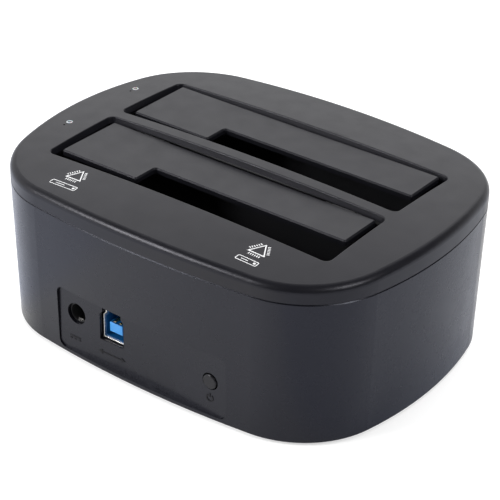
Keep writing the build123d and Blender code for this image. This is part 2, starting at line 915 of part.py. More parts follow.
def memory_chip():
    """Small chip with a row of legs along each long side."""
    centre_x = board_left_x - memory_chip_from_left
    centre_y = board_front_y + memory_chip_from_front
    body = chip(centre_x, centre_y, memory_chip_length, memory_chip_width, memory_chip_height)
    first = centre_x - (memory_leg_pairs - 1) * memory_leg_pitch / 2
    reach = memory_chip_width / 2 + memory_leg_length
    for index in range(memory_leg_pairs):
        x = first + index * memory_leg_pitch
        width = (x - memory_leg_width / 2, x + memory_leg_width / 2)
        across = (centre_y - reach, centre_y + reach)
        body += span(width, across, (board_top_z, board_top_z + memory_leg_height))
    return body


def bridge_chip():
    x = board_left_x - bridge_chip_from_left
    y = board_front_y + bridge_chip_from_front
    return chip(x, y, bridge_chip_size, bridge_chip_size, bridge_chip_height)


def crystal():
    place = (board_left_x - crystal_from_left, board_front_y + crystal_from_front, board_top_z)
    return extrude(Pos(*place) * SlotOverall(crystal_length, crystal_width), crystal_height)


def capacitor(index):
    """Metal can on a square plastic base."""
    x = capacitor_x - index * capacitor_spacing
    base_top = board_top_z + capacitor_base_height
    base = chip(x, capacitor_y, 2 * capacitor_radius, 2 * capacitor_radius, capacitor_base_height)
    can = (base_top, board_top_z + capacitor_height)
    return base + upright(x, capacitor_y, can, capacitor_radius)


def inductor():
    block = chip(inductor_x, inductor_y, inductor_size, inductor_size, inductor_height)
    return chamfer(block.edges().filter_by(Axis.Z), inductor_chamfer)


def usb_front_y():
    return panel_y - usb_setback


def usb_shell():
    """Folded metal sleeve of the data socket, open at the front."""
    front = usb_front_y()
    rear = front - usb_depth
    return usb_prism(0, rear, front) - usb_prism(-usb_sheet, rear + usb_sheet, front + cut_overrun)


def usb_insulator():
    """Blue insert: a liner with the plug's opening and a tongue for each contact row."""
    front = usb_front_y()
    rear = front - usb_depth + usb_sheet
    back_of_opening = front - usb_plug_depth
    insert = usb_prism(-usb_sheet, rear, front - usb_sheet)
    insert -= usb_prism(-usb_sheet - usb_liner, back_of_opening, front + cut_overrun)
    tongue_front = front - usb_tongue_setback
    half = usb_tongue_width / 2
    low = board_top_z + usb_tongue_rise
    insert += span(
        (usb_x - half, usb_x + half),
        (back_of_opening, tongue_front),
        (low, low + usb_tongue_height),
    )
    upper_half = usb_upper_tongue_width / 2
    upper_top = board_top_z + usb_height - usb_sheet - usb_liner
    insert += span(
        (usb_x - upper_half, usb_x + upper_half),
        (back_of_opening, tongue_front),
        (upper_top - usb_upper_tongue_height, upper_top),
    )
    return insert


def usb_contacts():
    """Contact strips on both faces of the lower tongue and under the upper one."""
    front = usb_front_y() - usb_contact_setback
    rear = usb_front_y() - usb_plug_depth
    low = board_top_z + usb_tongue_rise
    upper = board_top_z + usb_height - usb_sheet - usb_liner - usb_upper_tongue_height
    strips = []
    for side in sides.values():
        x = usb_x + side * usb_contact_pitch / 2
        width = (x - usb_contact_width / 2, x + usb_contact_width / 2)
        strips.append(span(width, (rear, front), (low - usb_contact_thickness, low)))
        top = low + usb_tongue_height
        strips.append(span(width, (rear, front), (top, top + usb_contact_thickness)))
    first = usb_x - (usb_upper_contacts - 1) * usb_upper_contact_pitch / 2
    for index in range(usb_upper_contacts):
        x = first + index * usb_upper_contact_pitch
        width = (x - usb_upper_contact_width / 2, x + usb_upper_contact_width / 2)
        strips.append(span(width, (rear, front), (upper - usb_contact_thickness, upper)))
    return Compound(strips)


def dc_jack_housing():
    """Power inlet: a block on the board with a round nose through the panel."""
    half = dc_body_width / 2
    front = panel_inner_y - port_panel_gap
    rear = front - dc_body_length
    top = dc_z + dc_nose_radius + dc_top_wall
    nose_front = panel_y - dc_nose_setback
    housing = span((dc_x - half, dc_x + half), (rear, front), (board_top_z, top))
    housing += along_y(dc_x, (front - cut_overrun, nose_front), dc_z, dc_nose_radius)
    bore = (nose_front - dc_bore_depth, nose_front + cut_overrun)
    return housing - along_y(dc_x, bore, dc_z, dc_bore_radius)


def dc_bore_back():
    return panel_y - dc_nose_setback - dc_bore_depth


def dc_jack_pin():
    rear = dc_bore_back()
    pin = along_y(dc_x, (rear, panel_y - dc_nose_setback - dc_pin_setback), dc_z, dc_pin_radius)
    return fillet(pin.faces().sort_by(Axis.Y)[-1].edges(), dc_pin_radius / 2)


def dc_jack_leaf():
    """Flat spring contact lying along the bottom of the bore."""
    low = dc_z - sqrt(dc_bore_radius**2 - (dc_leaf_width / 2) ** 2)
    x = (dc_x - dc_leaf_width / 2, dc_x + dc_leaf_width / 2)
    y = (dc_bore_back(), panel_y - dc_nose_setback - dc_leaf_setback)
    return span(x, y, (low, low + dc_leaf_thickness))


def plunger_limits():
    """Y limits of the switch plunger at rest: its inner end and its tip in the button."""
    tip = panel_inner_y - button_flange_gap - button_flange_thickness + plunger_engagement
    return tip - plunger_length, tip


def switch_front_y():
    return board_rear_y - port_panel_gap


def power_switch_body():
    front = switch_front_y()
    inner = plunger_limits()[0]
    half = switch_width / 2
    body = span(
        (button_x - half, button_x + half),
        (front - switch_length, front),
        (board_top_z, board_top_z + 2 * switch_centre_height),
    )
    bore = plunger_size / 2 + plunger_gap
    back = inner - button_travel - switch_bore_room
    x = (button_x - bore, button_x + bore)
    return body - span(x, (back, front + cut_overrun), (button_z - bore, button_z + bore))


def switch_plunger():
    half = plunger_size / 2
    x = (button_x - half, button_x + half)
    return span(x, plunger_limits(), (button_z - half, button_z + half))


def power_button():
    """Round cap with a flange behind the panel and a socket for the plunger."""
    front = panel_y + button_proud
    flange_rear = panel_inner_y - button_flange_gap - button_flange_thickness
    cap = along_y(button_x, (flange_rear, front), button_z, button_radius)
    cap = fillet(cap.faces().sort_by(Axis.Y)[-1].edges(), button_edge_radius)
    flange = (flange_rear, flange_rear + button_flange_thickness)
    cap += along_y(button_x, flange, button_z, button_flange_radius)
    half = plunger_size / 2 + pin_clearance
    x = (button_x - half, button_x + half)
    y = (flange_rear - cut_overrun, plunger_limits()[1])
    return cap - span(x, y, (button_z - half, button_z + half))


# Activity lights


def led_board():
    low = led_board_top_z - led_board_thickness
    half_width = led_board_width / 2
    half_length = led_board_length / 2
    board = span(
        (led_x - half_width, led_x + half_width),
        (led_pair_shift - half_length, led_pair_shift + half_length),
        (low, led_board_top_z),
    )
    for y in led_boss_places():
        hole = (low - cut_overrun, led_board_top_z + cut_overrun)
        board -= upright(led_x, y, hole, small_shank_radius + screw_hole_room)
    return board


def led(y):
    half = led_size / 2
    return span(
        (led_x - half, led_x + half),
        (y - half, y + half),
        (led_board_top_z, led_board_top_z + led_height),
    )


def light_pipe(y):
    """Clear rod with a flange under the cover and its tip level with the top surface."""
    top = crown_z - crown_drop(led_x, y)
    under_cover = top - cover_wall - pipe_flange_gap
    pipe = upright(led_x, y, (led_board_top_z + led_height + pipe_led_gap, top), pipe_radius)
    flange = (under_cover - pipe_flange_height, under_cover)
    return pipe + upright(led_x, y, flange, pipe_flange_radius)


# Screws


def main_screw(x, y, seat_level, length):
    shank = (screw_shank_radius, length)
    return screw(x, y, seat_level, 1, *shank, screw_head_radius, screw_head_height)


def small_screw(x, y, seat_level, direction, length):
    shank = (small_shank_radius, length)
    return screw(x, y, seat_level, direction, *shank, small_head_radius, small_head_height)


def named_parts():
    """Every piece under its own name."""
    parts = {
        "top_cover": top_cover(),
        "body_shell": body_shell(),
        "base_plate": base_plate(),
        "drive_cradle": drive_cradle(),
        "circuit_board": circuit_board(),
        "bridge_chip": bridge_chip(),
        "memory_chip": memory_chip(),
        "crystal": crystal(),
        "capacitor_left": capacitor(0),
        "capacitor_right": capacitor(1),
        "power_inductor": inductor(),
        "usb_shell": usb_shell(),
        "usb_insulator": usb_insulator(),
        "usb_contacts": usb_contacts(),
        "dc_jack_housing": dc_jack_housing(),
        "dc_jack_pin": dc_jack_pin(),
        "dc_jack_leaf": dc_jack_leaf(),
        "power_switch_body": power_switch_body(),
        "switch_plunger": switch_plunger(),
        "power_button": power_button(),
        "led_board": led_board(),
    }
    for name in bay_y:
        parts[f"flap_{name}"] = flap(name)
        parts[f"hinge_pin_{name}"] = hinge_pin(name)
        parts[f"flap_spring_{name}"] = flap_spring(name)
        parts[f"sata_socket_{name}"] = sata_socket(name)
        parts[f"sata_contacts_{name}"] = sata_contacts(name)
    for name, y in led_places().items():
        parts[f"led_{name}"] = led(y)
        parts[f"light_pipe_{name}"] = light_pipe(y)
    for index, y in enumerate(led_boss_places(), 1):
        low = led_board_top_z - led_board_thickness
        parts[f"led_board_screw_{index}"] = small_screw(led_x, y, low, 1, led_screw_length)
    for name, (x, y) in foot_places().items():
        parts[f"foot_{name}"] = foot(x, y)
    for name, (x, y) in post_places().items():
        parts[f"base_screw_{name}"] = main_screw(x, y, base_seat_z, base_screw_length)
    ear_seat = ear_top_z - ear_thickness
    for name, (x, y) in ear_places().items():
        parts[f"cradle_screw_{name}"] = main_screw(x, y, ear_seat, cradle_screw_length)
    for name, (x, y) in standoff_places().items():
        parts[f"board_screw_{name}"] = small_screw(x, y, board_top_z, -1, board_screw_length)
    return parts


os.makedirs("parts", exist_ok=True)
for node, shape in named_parts().items():
    export_step(shape, f"parts/{node}.step")
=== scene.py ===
import json
import math

import bmesh
import bpy
from mathutils import Matrix, Vector

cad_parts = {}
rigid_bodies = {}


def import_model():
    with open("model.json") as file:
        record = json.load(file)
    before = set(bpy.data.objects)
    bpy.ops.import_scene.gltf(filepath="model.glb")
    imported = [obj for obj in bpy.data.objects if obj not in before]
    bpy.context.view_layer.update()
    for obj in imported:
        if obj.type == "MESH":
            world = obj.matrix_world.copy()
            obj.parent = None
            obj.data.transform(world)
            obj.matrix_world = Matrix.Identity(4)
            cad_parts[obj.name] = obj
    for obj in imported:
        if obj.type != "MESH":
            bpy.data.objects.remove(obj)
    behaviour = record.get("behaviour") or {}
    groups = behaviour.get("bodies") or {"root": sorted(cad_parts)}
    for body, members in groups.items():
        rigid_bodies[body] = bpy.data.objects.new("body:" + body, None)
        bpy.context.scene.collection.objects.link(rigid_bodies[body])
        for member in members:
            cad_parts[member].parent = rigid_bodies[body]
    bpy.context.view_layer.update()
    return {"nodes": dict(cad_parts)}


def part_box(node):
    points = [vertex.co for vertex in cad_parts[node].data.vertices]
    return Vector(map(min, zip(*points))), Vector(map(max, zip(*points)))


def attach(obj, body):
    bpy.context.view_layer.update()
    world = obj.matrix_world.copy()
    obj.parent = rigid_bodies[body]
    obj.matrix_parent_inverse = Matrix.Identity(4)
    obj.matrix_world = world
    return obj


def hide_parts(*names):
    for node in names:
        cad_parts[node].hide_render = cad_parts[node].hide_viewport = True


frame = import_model()

# Sizes are in millimetres and MM turns them into Blender's metres
MM = 0.001

# Camera of the photograph
CAMERA_PLACE = (-285.5, 378.1, 302.75)
CAMERA_AZIMUTH = 216.922
CAMERA_ELEVATION = 30.459
CAMERA_ROLL = 1.0756
CAMERA_LENS = 128.49
CAMERA_CLIP = (0.01, 20)

# Studio: the floor and its bounce in a gloss, the white surround and its dark ceiling
FLOOR_SPAN = 6000
FLOOR_COLOUR = 0.55
FLOOR_GLOW = 0.52
SURROUND_LIGHT = 0.6
CEILING_MIDDLE = (-0.5, 0.3, 0.81)
CEILING_LIGHT = 0.04
CEILING_EDGE = (0.12, 0.28)
BOUNCE_DIM = 0.5
BOUNCE_DIM_X = (-75, -30)
BOUNCE_BLUE = (0.55, 0.66, 1)
BOUNCE_WHITE_REACH = (45, 80)

# Lamps: name, place, size, power, and whether a gloss shows them
LAMPS = (
    ("overhead_lamp", (350, -600, 1300), 1500, 22, False),
    ("back_softbox", (500, -830, 930), 1200, 2.9, True),
    ("left_softbox", (620, 850, 600), 400, 11, True),
    ("right_softbox", (-900, 80, 800), 400, 5.6, True),
)

# Modelling: cosine of a face that looks one way, a slack, and the fineness of rounds
FACING = 0.9
FLAT = 0.99
TOLERANCE = 0.01
MERGE_REACH = 0.001
ROUND_SIDES = 48
ROUND_STEPS = 4
BEVEL_STEPS = 2
SMOOTH_ANGLE = 30

# Finishes: where a pattern's noise starts and ends, and for each kind the widths of its
# spots in millimetres, how far they move the shade or the polish, and the height they raise
PATTERN_ENDS = (0.3, 0.7)
COOL_WHITE = (0.93, 0.92, 1)
FLOW_SPOT = 18
FLOW_SHADE = 0.12
POLISH_SPOT = 6
POLISH_SPREAD = 0.03
STAIN_SPOT = 1.6
STAIN_SHADE = 0.18
ROLL_LINE = 0.22
ROLL_POLISH = (-0.06, 0.08)
ROLL_HEIGHT = 0.004
TRACK_CELL = (2.2, 1.4, 4)
TRACK_CHAOS = 0.35
TRACK_EDGE = (0.04, 0.06)
TRACK_HEIGHT = 0.03
LACQUER_GREEN = (0.006, 0.05, 0.022)
TRACK_GREEN = (0.02, 0.11, 0.045)
LACQUER_COAT = {"Coat_Weight": 0.4, "Coat_Roughness": 0.15}
LACQUER_SPOT = 5
LACQUER_POLISH = (0.32, 0.42)
MILK_DEPTH = {
    "IOR": 1.49,
    "Transmission_Weight": 0.25,
    "Subsurface_Weight": 0.35,
    "Subsurface_Scale": 0.6 * MM,
}
MILK_LIGHT = 0.08
MILK_POLISH = (-0.04, 0.06)
MILK_GRAIN = 0.15
MILK_HEIGHT = 0.003
INK_GLOSS = 0.4
INK_SPECK = 0.25
INK_THIN = 0.8
INK_POLISH = (0.5, 0.62)
INK_HEIGHT = 0.01
DUST_SPOT = 2.5
DUST_SHADE = 1.7
DUST_POLISH = (0.72, 0.86)
RUBBER_SHEEN = {"Specular_IOR_Level": 0.3, "Sheen_Weight": 0.15}
RUBBER_GRAIN = 0.35
RUBBER_HEIGHT = 0.03

# Crown of the cover, and the flat face of the port panel
CROWN_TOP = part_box("top_cover")[1][2] / MM
CROWN_RADIUS_ALONG = 1108
CROWN_RADIUS_ACROSS = 513
PANEL_FACE = 50.3

# Printed marks on the cover: arrowhead, ticks and the sign of a drive, then the name, place
# and length of sign of each
INK_PROUD = 0.03
INK_DEPTH = 0.06
ARROW_RADIUS = 3.46
ARROW_LINE = 0.36
TICKS_PER_SIDE = 6
TICK_PITCH = 0.7
TICK_SIZE = (0.3, 0.8)
TICK_OFFSET = 0.85
SIGN_HEIGHT = 2.1
SIGN_LINE = 0.24
SIGN_CORNER = 0.45
SIGN_CORNER_STEPS = 4
SIGN_DOT_SHARE = 0.2
SIGN_DOT_SIDES = 16
SIGN_STROKE_SHARE = 1 / 3
SIGN_OFFSET = 5.7
COVER_MARKS = (
    ("large_drive_mark", (34.2, 38.35), 9.8),
    ("small_drive_mark", (-33.8, 38.75), 7.2),
)

# Raised marks on the port panel
RAISED_HEIGHT = 0.14
RAISED_LINE = 0.4
INLET_MARK = (25.8, 6.9)
INLET_BAR = 4.2
INLET_DASHES = 3
DATA_MARK = (11.2, 6.5)
DATA_BAR = 7.4
DATA_HEAD = 0.95
POWER_MARK = (-25.85, 7.7)
POWER_RING = 1.3
POWER_GAP = 35
POWER_STROKE_SHARE = 0.75

# Light pipes: rod and flange, and the dish in the rod's end
PIPE_RADIUS = 1.0
PIPE_FLANGE = 1.0
PIPE_RIM = 0.24
PIPE_DISH = 0.16
PIPE_ROUND = 0.08
PIPE_ROUND_STEPS = 3
PIPE_SMOOTH_ANGLE = 35

# Screws: height and radius of the head and radius of the shank, then the dome, the length,
# width and foot of the cross, its depth, and the pitch, root and point of the thread as shares
CASE_SCREW = (1.1, 2.5, 1.25)
BOARD_SCREW = (0.8, 1.6, 0.8)
DOME_SHARE = 0.5
CROSS_SHARES = (1.15, 0.24, 0.62)
CROSS_DEPTH_SHARE = 0.7
PITCH_SHARE = 0.8
THREAD_SHARE = 0.78
POINT_SHARE = 1 / 3
DOME_STEPS = 5
SCREW_SIDES = 32
SCREW_SMOOTH_ANGLE = 32

# Data socket: its outline, the rolled rim of the sleeve, and the insert's two tongues, each
# with its width and the heights of its underside and top
SHOULDER_STEP = 1.0
SHOULDER_RISE = 1.05
UPPER_RISE = 2.35
SLEEVE_SHEET = 0.35
RIM_ROUND = 0.12
RIM_STEPS = 3
LINER = 0.4
PLUG_DEPTH = 8.65
TONGUE_SETBACK = 0.45
TONGUE_ROUND = 0.14
LOWER_TONGUE = (4.9, 13.4, 16.6)
UPPER_TONGUE = (4.2, 20.85, 21.95)

# Lead-in: the sloped wall that guides a drive into each bay
BAY_SIZE = (103.6, 29.1)
BAY_MIDDLES = (("rear", 17.2), ("front", -16.4))
BAY_CORNER = 2.2
BAY_CORNER_STEPS = 6
LEAD_DROP = 0.42
LEAD_HEIGHT = 1.5
LEAD_SLOPE = 0.46
LEAD_WALL = 0.3
LEAD_CUTS = 24

# Skirt: the thin rim round the foot of the body
SKIRT_TOP = 1.99
SKIRT_FOOT = 1.2
SKIRT_WALL = 1.6
SKIRT_END = 0.1

# Chip with legs: stand and bevel of the resin, the bent legs and the pin-one dimple
CHIP_STAND = 0.12
CHIP_BEVEL = 0.1
CHIP_LEGS = 12
LEG_PITCH = 0.6
LEG_SIZE = (0.25, 0.13)
LEG_SHOULDER = 0.15
LEG_RUN = 0.2
LEG_TOE = 0.4
LEG_REACH = LEG_SHOULDER + LEG_RUN + LEG_TOE
LEG_ROOT = 0.2
DIMPLE_RADIUS = 0.35
DIMPLE_DEPTH = 0.08
DIMPLE_INSET = 1.0
DIMPLE_SIDES = 24

# Activity lights: foot, rim and pads, as wide, long and high as said
LIGHT_FOOT = 0.45
LIGHT_RIM = 0.3
LIGHT_ROUND = 0.15
PAD_WRAP = 0.1
PAD_SIZE = (1.8, 0.5, 0.3)

# Capacitors: notched base, then the can's rise and width at each step of its crimp
CAN_BASE = 0.8
CAN_NOTCH = 1.2
CAN_GAP = 0.1
CAN_CRIMP = ((0.25, 0.93), (0.3, 1), (0.25, 1 / 0.93))
CAN_ROUND = 0.35
CAN_RIM = 0.25
CAN_DISH = 0.1
CAN_MARK_FROM_MIDDLE = 1.1

# Inductor and crystal: cut corners, pads, the groove round the core, and the can's flange
INDUCTOR_CORNER = 1.0
INDUCTOR_PAD = (1.6, 3.0, 0.4)
CORE_RADIUS = 2.55
CORE_LINE = 0.3
CORE_DEPTH = 0.3
CRYSTAL_END_FLAT = 0.02
CRYSTAL_END_STEPS = 10
CRYSTAL_FLANGE = 0.4
CRYSTAL_STEP = 0.35
CRYSTAL_ROUND = 0.3

# Plunger between the switch and the button
PLUNGER_ROUND = 0.3


def set_camera():
    azimuth = math.radians(CAMERA_AZIMUTH)
    elevation = math.radians(CAMERA_ELEVATION)
    roll = math.radians(CAMERA_ROLL)
    back = Vector((
        math.sin(azimuth) * math.cos(elevation),
        -math.cos(azimuth) * math.cos(elevation),
        math.sin(elevation),
    ))
    level = (-back).cross(Vector((0, 0, 1))).normalized()
    above = level.cross(-back)
    right = math.cos(roll) * level + math.sin(roll) * above
    up = math.cos(roll) * above - math.sin(roll) * level
    data = bpy.data.cameras.new("photo_camera")
    data.lens = CAMERA_LENS
    data.clip_start, data.clip_end = CAMERA_CLIP
    camera = bpy.data.objects.new("photo_camera", data)
    bpy.context.scene.collection.objects.link(camera)
    turn = Matrix((right, up, back)).transposed().to_4x4()
    camera.matrix_world = Matrix.Translation(Vector(CAMERA_PLACE) * MM) @ turn
    bpy.context.scene.camera = camera


# Materials


def node_tree(owner):
    owner.use_nodes = True
    owner.node_tree.nodes.clear()
    return owner.node_tree


def add_node(tree, kind, inputs=None, **settings):
    """A shader node with its settings, and its inputs linked or set by name."""
    node = tree.nodes.new("ShaderNode" + kind)
    for name, value in settings.items():
        setattr(node, name, value)
    for name, value in (inputs or {}).items():
        if isinstance(value, bpy.types.NodeSocket):
            tree.links.new(value, node.inputs[name])
        else:
            node.inputs[name].default_value = value
    return node


def new_finish(name, **inputs):
    """A material with one surface shader, whose even values are set on its own sockets."""
    material = bpy.data.materials.new(name)
    tree = node_tree(material)
    values = {key.replace("_", " "): value for key, value in inputs.items()}
    shader = add_node(tree, "BsdfPrincipled", values)
    add_node(tree, "OutputMaterial", {"Surface": shader.outputs[0]})
    return material, tree, shader


def noise(tree, size, detail=2.0, stretch=(1, 1, 1)):
    """Noise in the piece's own space, with spots about this many millimetres wide."""
    space = add_node(tree, "TexCoord")
    scale = tuple(1 / (size * MM * part) for part in stretch)
    place = add_node(tree, "Mapping", {"Vector": space.outputs["Object"], "Scale": scale})
    pattern = {"Vector": place.outputs[0], "Scale": 1.0, "Detail": detail}
    return add_node(tree, "TexNoise", pattern).outputs["Fac"]


def between(tree, fac, low, high, start=PATTERN_ENDS[0], stop=PATTERN_ENDS[1]):
    """A value that runs from low to high while the pattern runs from start to stop."""
    limits = {"From Min": start, "From Max": stop, "To Min": low, "To Max": high}
    return add_node(tree, "MapRange", {"Value": fac, **limits}).outputs["Result"]


def shades(tree, fac, first, second):
    """Colour that runs from the first to the second shade with the pattern."""
    ramp = add_node(tree, "ValToRGB", {"Fac": fac})
    stops = zip(ramp.color_ramp.elements, PATTERN_ENDS, (first, second))
    for stop, position, colour in stops:
        stop.position = position
        stop.color = (*colour, 1)
    return ramp.outputs["Color"]


def emboss(tree, shader, fac, depth):
    values = {"Height": fac, "Distance": depth * MM, "Strength": 1}
    bump = add_node(tree, "Bump", values)
    tree.links.new(bump.outputs[0], shader.inputs["Normal"])


def moulded_plastic(name, colour, roughness, grain, depth, gloss=0.5, tint=COOL_WHITE):
    """Injection-moulded plastic: etched grain, with slow changes of shade and polish."""
    sheen = {"Specular_IOR_Level": gloss, "Specular_Tint": (*tint, 1)}
    material, tree, shader = new_finish(name, **sheen)
    dark = [part * (1 - FLOW_SHADE) for part in colour]
    light = [part * (1 + FLOW_SHADE) for part in colour]
    flow = noise(tree, FLOW_SPOT, detail=3)
    tree.links.new(shades(tree, flow, dark, light), shader.inputs["Base Color"])
    polish = noise(tree, POLISH_SPOT, detail=3)
    spread = between(tree, polish, roughness - POLISH_SPREAD, roughness + POLISH_SPREAD)
    tree.links.new(spread, shader.inputs["Roughness"])
    emboss(tree, shader, noise(tree, grain, detail=4), depth)
    return material


def plated_metal(name, colour, roughness, stretch=(1, 1, 1)):
    """Rolled or turned metal, with drawing lines along its longest stretch."""
    material, tree, shader = new_finish(name, Metallic=1.0)
    dark = [part * (1 - STAIN_SHADE) for part in colour]
    stain = noise(tree, STAIN_SPOT, detail=4)
    tree.links.new(shades(tree, stain, dark, colour), shader.inputs["Base Color"])
    lines = noise(tree, ROLL_LINE, 3, stretch)
    spread = between(tree, lines, *(roughness + part for part in ROLL_POLISH))
    tree.links.new(spread, shader.inputs["Roughness"])
    emboss(tree, shader, lines, ROLL_HEIGHT)
    return material


def solder_mask(name):
    """Board surface: lacquer over copper tracks, which show as a paler, raised net."""
    material, tree, shader = new_finish(name, **LACQUER_COAT)
    space = add_node(tree, "TexCoord")
    scale = tuple(1 / (part * MM) for part in TRACK_CELL)
    place = add_node(tree, "Mapping", {"Vector": space.outputs["Object"], "Scale": scale})
    rows = {"Vector": place.outputs[0], "Scale": 1.0, "Randomness": TRACK_CHAOS}
    net = add_node(tree, "TexVoronoi", rows, distance="CHEBYCHEV", feature="DISTANCE_TO_EDGE")
    track = between(tree, net.outputs["Distance"], 1, 0, *TRACK_EDGE)
    colour = shades(tree, track, LACQUER_GREEN, TRACK_GREEN)
    tree.links.new(colour, shader.inputs["Base Color"])
    spread = between(tree, noise(tree, LACQUER_SPOT, detail=3), *LACQUER_POLISH)
    tree.links.new(spread, shader.inputs["Roughness"])
    emboss(tree, shader, track, TRACK_HEIGHT)
    return material


def lit_plastic(name, colour, roughness, cloud):
    """Milky light-guiding plastic, a little cloudier in places."""
    material, tree, shader = new_finish(name, **MILK_DEPTH)
    veil = noise(tree, cloud, detail=3)
    light = [min(part * (1 + MILK_LIGHT), 1) for part in colour]
    tree.links.new(shades(tree, veil, colour, light), shader.inputs["Base Color"])
    spread = between(tree, veil, *(roughness + part for part in MILK_POLISH))
    tree.links.new(spread, shader.inputs["Roughness"])
    emboss(tree, shader, noise(tree, MILK_GRAIN), MILK_HEIGHT)
    return material


def print_ink(name, colour):
    """Pad-printed ink, a little thin and uneven at its grain."""
    material, tree, shader = new_finish(name, Specular_IOR_Level=INK_GLOSS)
    speckle = noise(tree, INK_SPECK, detail=4)
    thin = [part * INK_THIN for part in colour]
    tree.links.new(shades(tree, speckle, thin, colour), shader.inputs["Base Color"])
    tree.links.new(between(tree, speckle, *INK_POLISH), shader.inputs["Roughness"])
    emboss(tree, shader, speckle, INK_HEIGHT)
    return material


def rubber(name, colour):
    """Matt rubber under a little dust."""
    material, tree, shader = new_finish(name, **RUBBER_SHEEN)
    dust = noise(tree, DUST_SPOT, detail=5)
    pale = [part * DUST_SHADE for part in colour]
    tree.links.new(shades(tree, dust, colour, pale), shader.inputs["Base Color"])
    tree.links.new(between(tree, dust, *DUST_POLISH), shader.inputs["Roughness"])
    emboss(tree, shader, noise(tree, RUBBER_GRAIN, detail=4), RUBBER_HEIGHT)
    return material


STEEL = (0.62, 0.61, 0.6)
NICKEL = (0.72, 0.7, 0.66)
GOLD = (0.85, 0.6, 0.26)
CASE_BLACK = (0.0055, 0.0055, 0.0075)

# Moulded plastics: colour, roughness, width and depth of the grain, gloss and its tint
PLASTICS = {
    "cover": ("cover_satin_grain", CASE_BLACK, 0.34, 0.32, 0.01, 0.28),
    "flap": ("flap_satin_grain", CASE_BLACK, 0.36, 0.3, 0.01, 0.3),
    "body": ("body_half_gloss", (0.005, 0.005, 0.0075), 0.27, 0.6, 0.002, 0.31, (0.84, 0.86, 1)),
    # The raised marks are moulded in the body's plastic; their darker colour than the body is
    # painted shade
    "raised": ("mark_raised_gloss", (0.003, 0.003, 0.004), 0.3, 0.4, 0.002, 0.2),
    "base": ("base_fine_spark", (0.016, 0.016, 0.018), 0.55, 0.35, 0.03),
    "cradle": ("cradle_matt_black", (0.008, 0.008, 0.009), 0.6, 0.4, 0.02, 0.35),
    "button": ("button_satin", (0.006, 0.006, 0.007), 0.3, 0.25, 0.006, 0.3),
    "switch": ("switch_black_nylon", (0.012, 0.012, 0.012), 0.5, 0.3, 0.015),
    "socket": ("socket_black_resin", (0.01, 0.01, 0.01), 0.45, 0.25, 0.012),
    "chip": ("chip_black_epoxy", (0.02, 0.02, 0.021), 0.62, 0.12, 0.012),
    "inductor": ("inductor_ferrite", (0.05, 0.05, 0.052), 0.7, 0.3, 0.03),
    # The insert and its tongues are one blue resin: the insert's deeper blue is painted shade,
    # the tongues' paler blue is painted light
    "insert": ("insert_deep_blue_resin", (0.003, 0.055, 0.16), 0.3, 0.3, 0.006),
    "tongue": ("tongue_blue_resin", (0.05, 0.3, 0.72), 0.32, 0.3, 0.006),
}

# Metals: colour, roughness and the stretch of the lines that rolling or drawing leaves
METALS = {
    "capacitor": ("capacitor_can", (0.68, 0.68, 0.69), 0.3, (1, 1, 12)),
    "crystal": ("crystal_can", STEEL, 0.28),
    "screw": ("screw_black_zinc", (0.2, 0.2, 0.21), 0.34),
    "hinge_pin": ("pin_drawn_steel", STEEL, 0.25, (20, 1, 1)),
    "spring": ("spring_wire", STEEL, 0.3),
    "usb_shell": ("sleeve_rolled_steel", NICKEL, 0.24, (1, 14, 1)),
    "contacts": ("contact_gold", GOLD, 0.22),
    "dc_pin": ("inlet_nickel", NICKEL, 0.18, (1, 16, 1)),
}

# Milky plastics: colour, roughness and the width of the cloud in them
MILKY = {
    "led": ("light_resin", (0.8, 0.8, 0.76), 0.2, 1.2),
    "lens": ("light_pipe_dish", (0.16, 0.16, 0.17), 0.12, 0.8),
    "pipe": ("light_pipe_milk", (0.5, 0.5, 0.52), 0.22, 1.6),
}

finishes = {}
for kind, table in ((moulded_plastic, PLASTICS), (plated_metal, METALS), (lit_plastic, MILKY)):
    for finish, values in table.items():
        finishes[finish] = kind(*values)
finishes["board"] = solder_mask("board_green_lacquer")
finishes["foot"] = rubber("foot_rubber", (0.014, 0.014, 0.015))
finishes["ink"] = print_ink("white_pad_print", (0.62, 0.62, 0.63))

# Finish of each carried node, by the start of its name
NODE_FINISH = {
    "top_cover": "cover",
    "body_shell": "body",
    "base_plate": "base",
    "base_screw": "screw",
    "board_screw": "screw",
    "cradle_screw": "screw",
    "led_board_screw": "screw",
    "drive_cradle": "cradle",
    "flap": "flap",
    "flap_spring": "spring",
    "hinge_pin": "hinge_pin",
    "power_button": "button",
    "switch_plunger": "switch",
    "power_switch_body": "switch",
    "circuit_board": "board",
    "led_board": "board",
    "bridge_chip": "chip",
    "memory_chip": "chip",
    "crystal": "crystal",
    "capacitor": "capacitor",
    "power_inductor": "inductor",
    "usb_shell": "usb_shell",
    "usb_insulator": "insert",
    "usb_contacts": "contacts",
    "sata_contacts": "contacts",
    "sata_socket": "socket",
    "dc_jack_housing": "socket",
    "dc_jack_pin": "dc_pin",
    "dc_jack_leaf": "dc_pin",
    "led": "led",
    "light_pipe": "pipe",
    "foot": "foot",
}


def finish_nodes():
    for node, piece in frame["nodes"].items():
        start = max((part for part in NODE_FINISH if node.startswith(part)), key=len)
        piece.data.materials.clear()
        piece.data.materials.append(finishes[NODE_FINISH[start]])


# Studio


def math_node(tree, first, second, operation):
    """The result of a sum on two values."""
    return add_node(tree, "Math", {0: first, 1: second}, operation=operation).outputs[0]


def sees_background(tree):
    """1 for a ray from the camera, off a gloss or through glass, and 0 for plain light."""
    path = add_node(tree, "LightPath")
    seen = path.outputs["Is Camera Ray"]
    for kind in ("Is Glossy Ray", "Is Transmission Ray"):
        seen = math_node(tree, seen, path.outputs[kind], "MAXIMUM")
    return path.outputs["Is Camera Ray"], seen


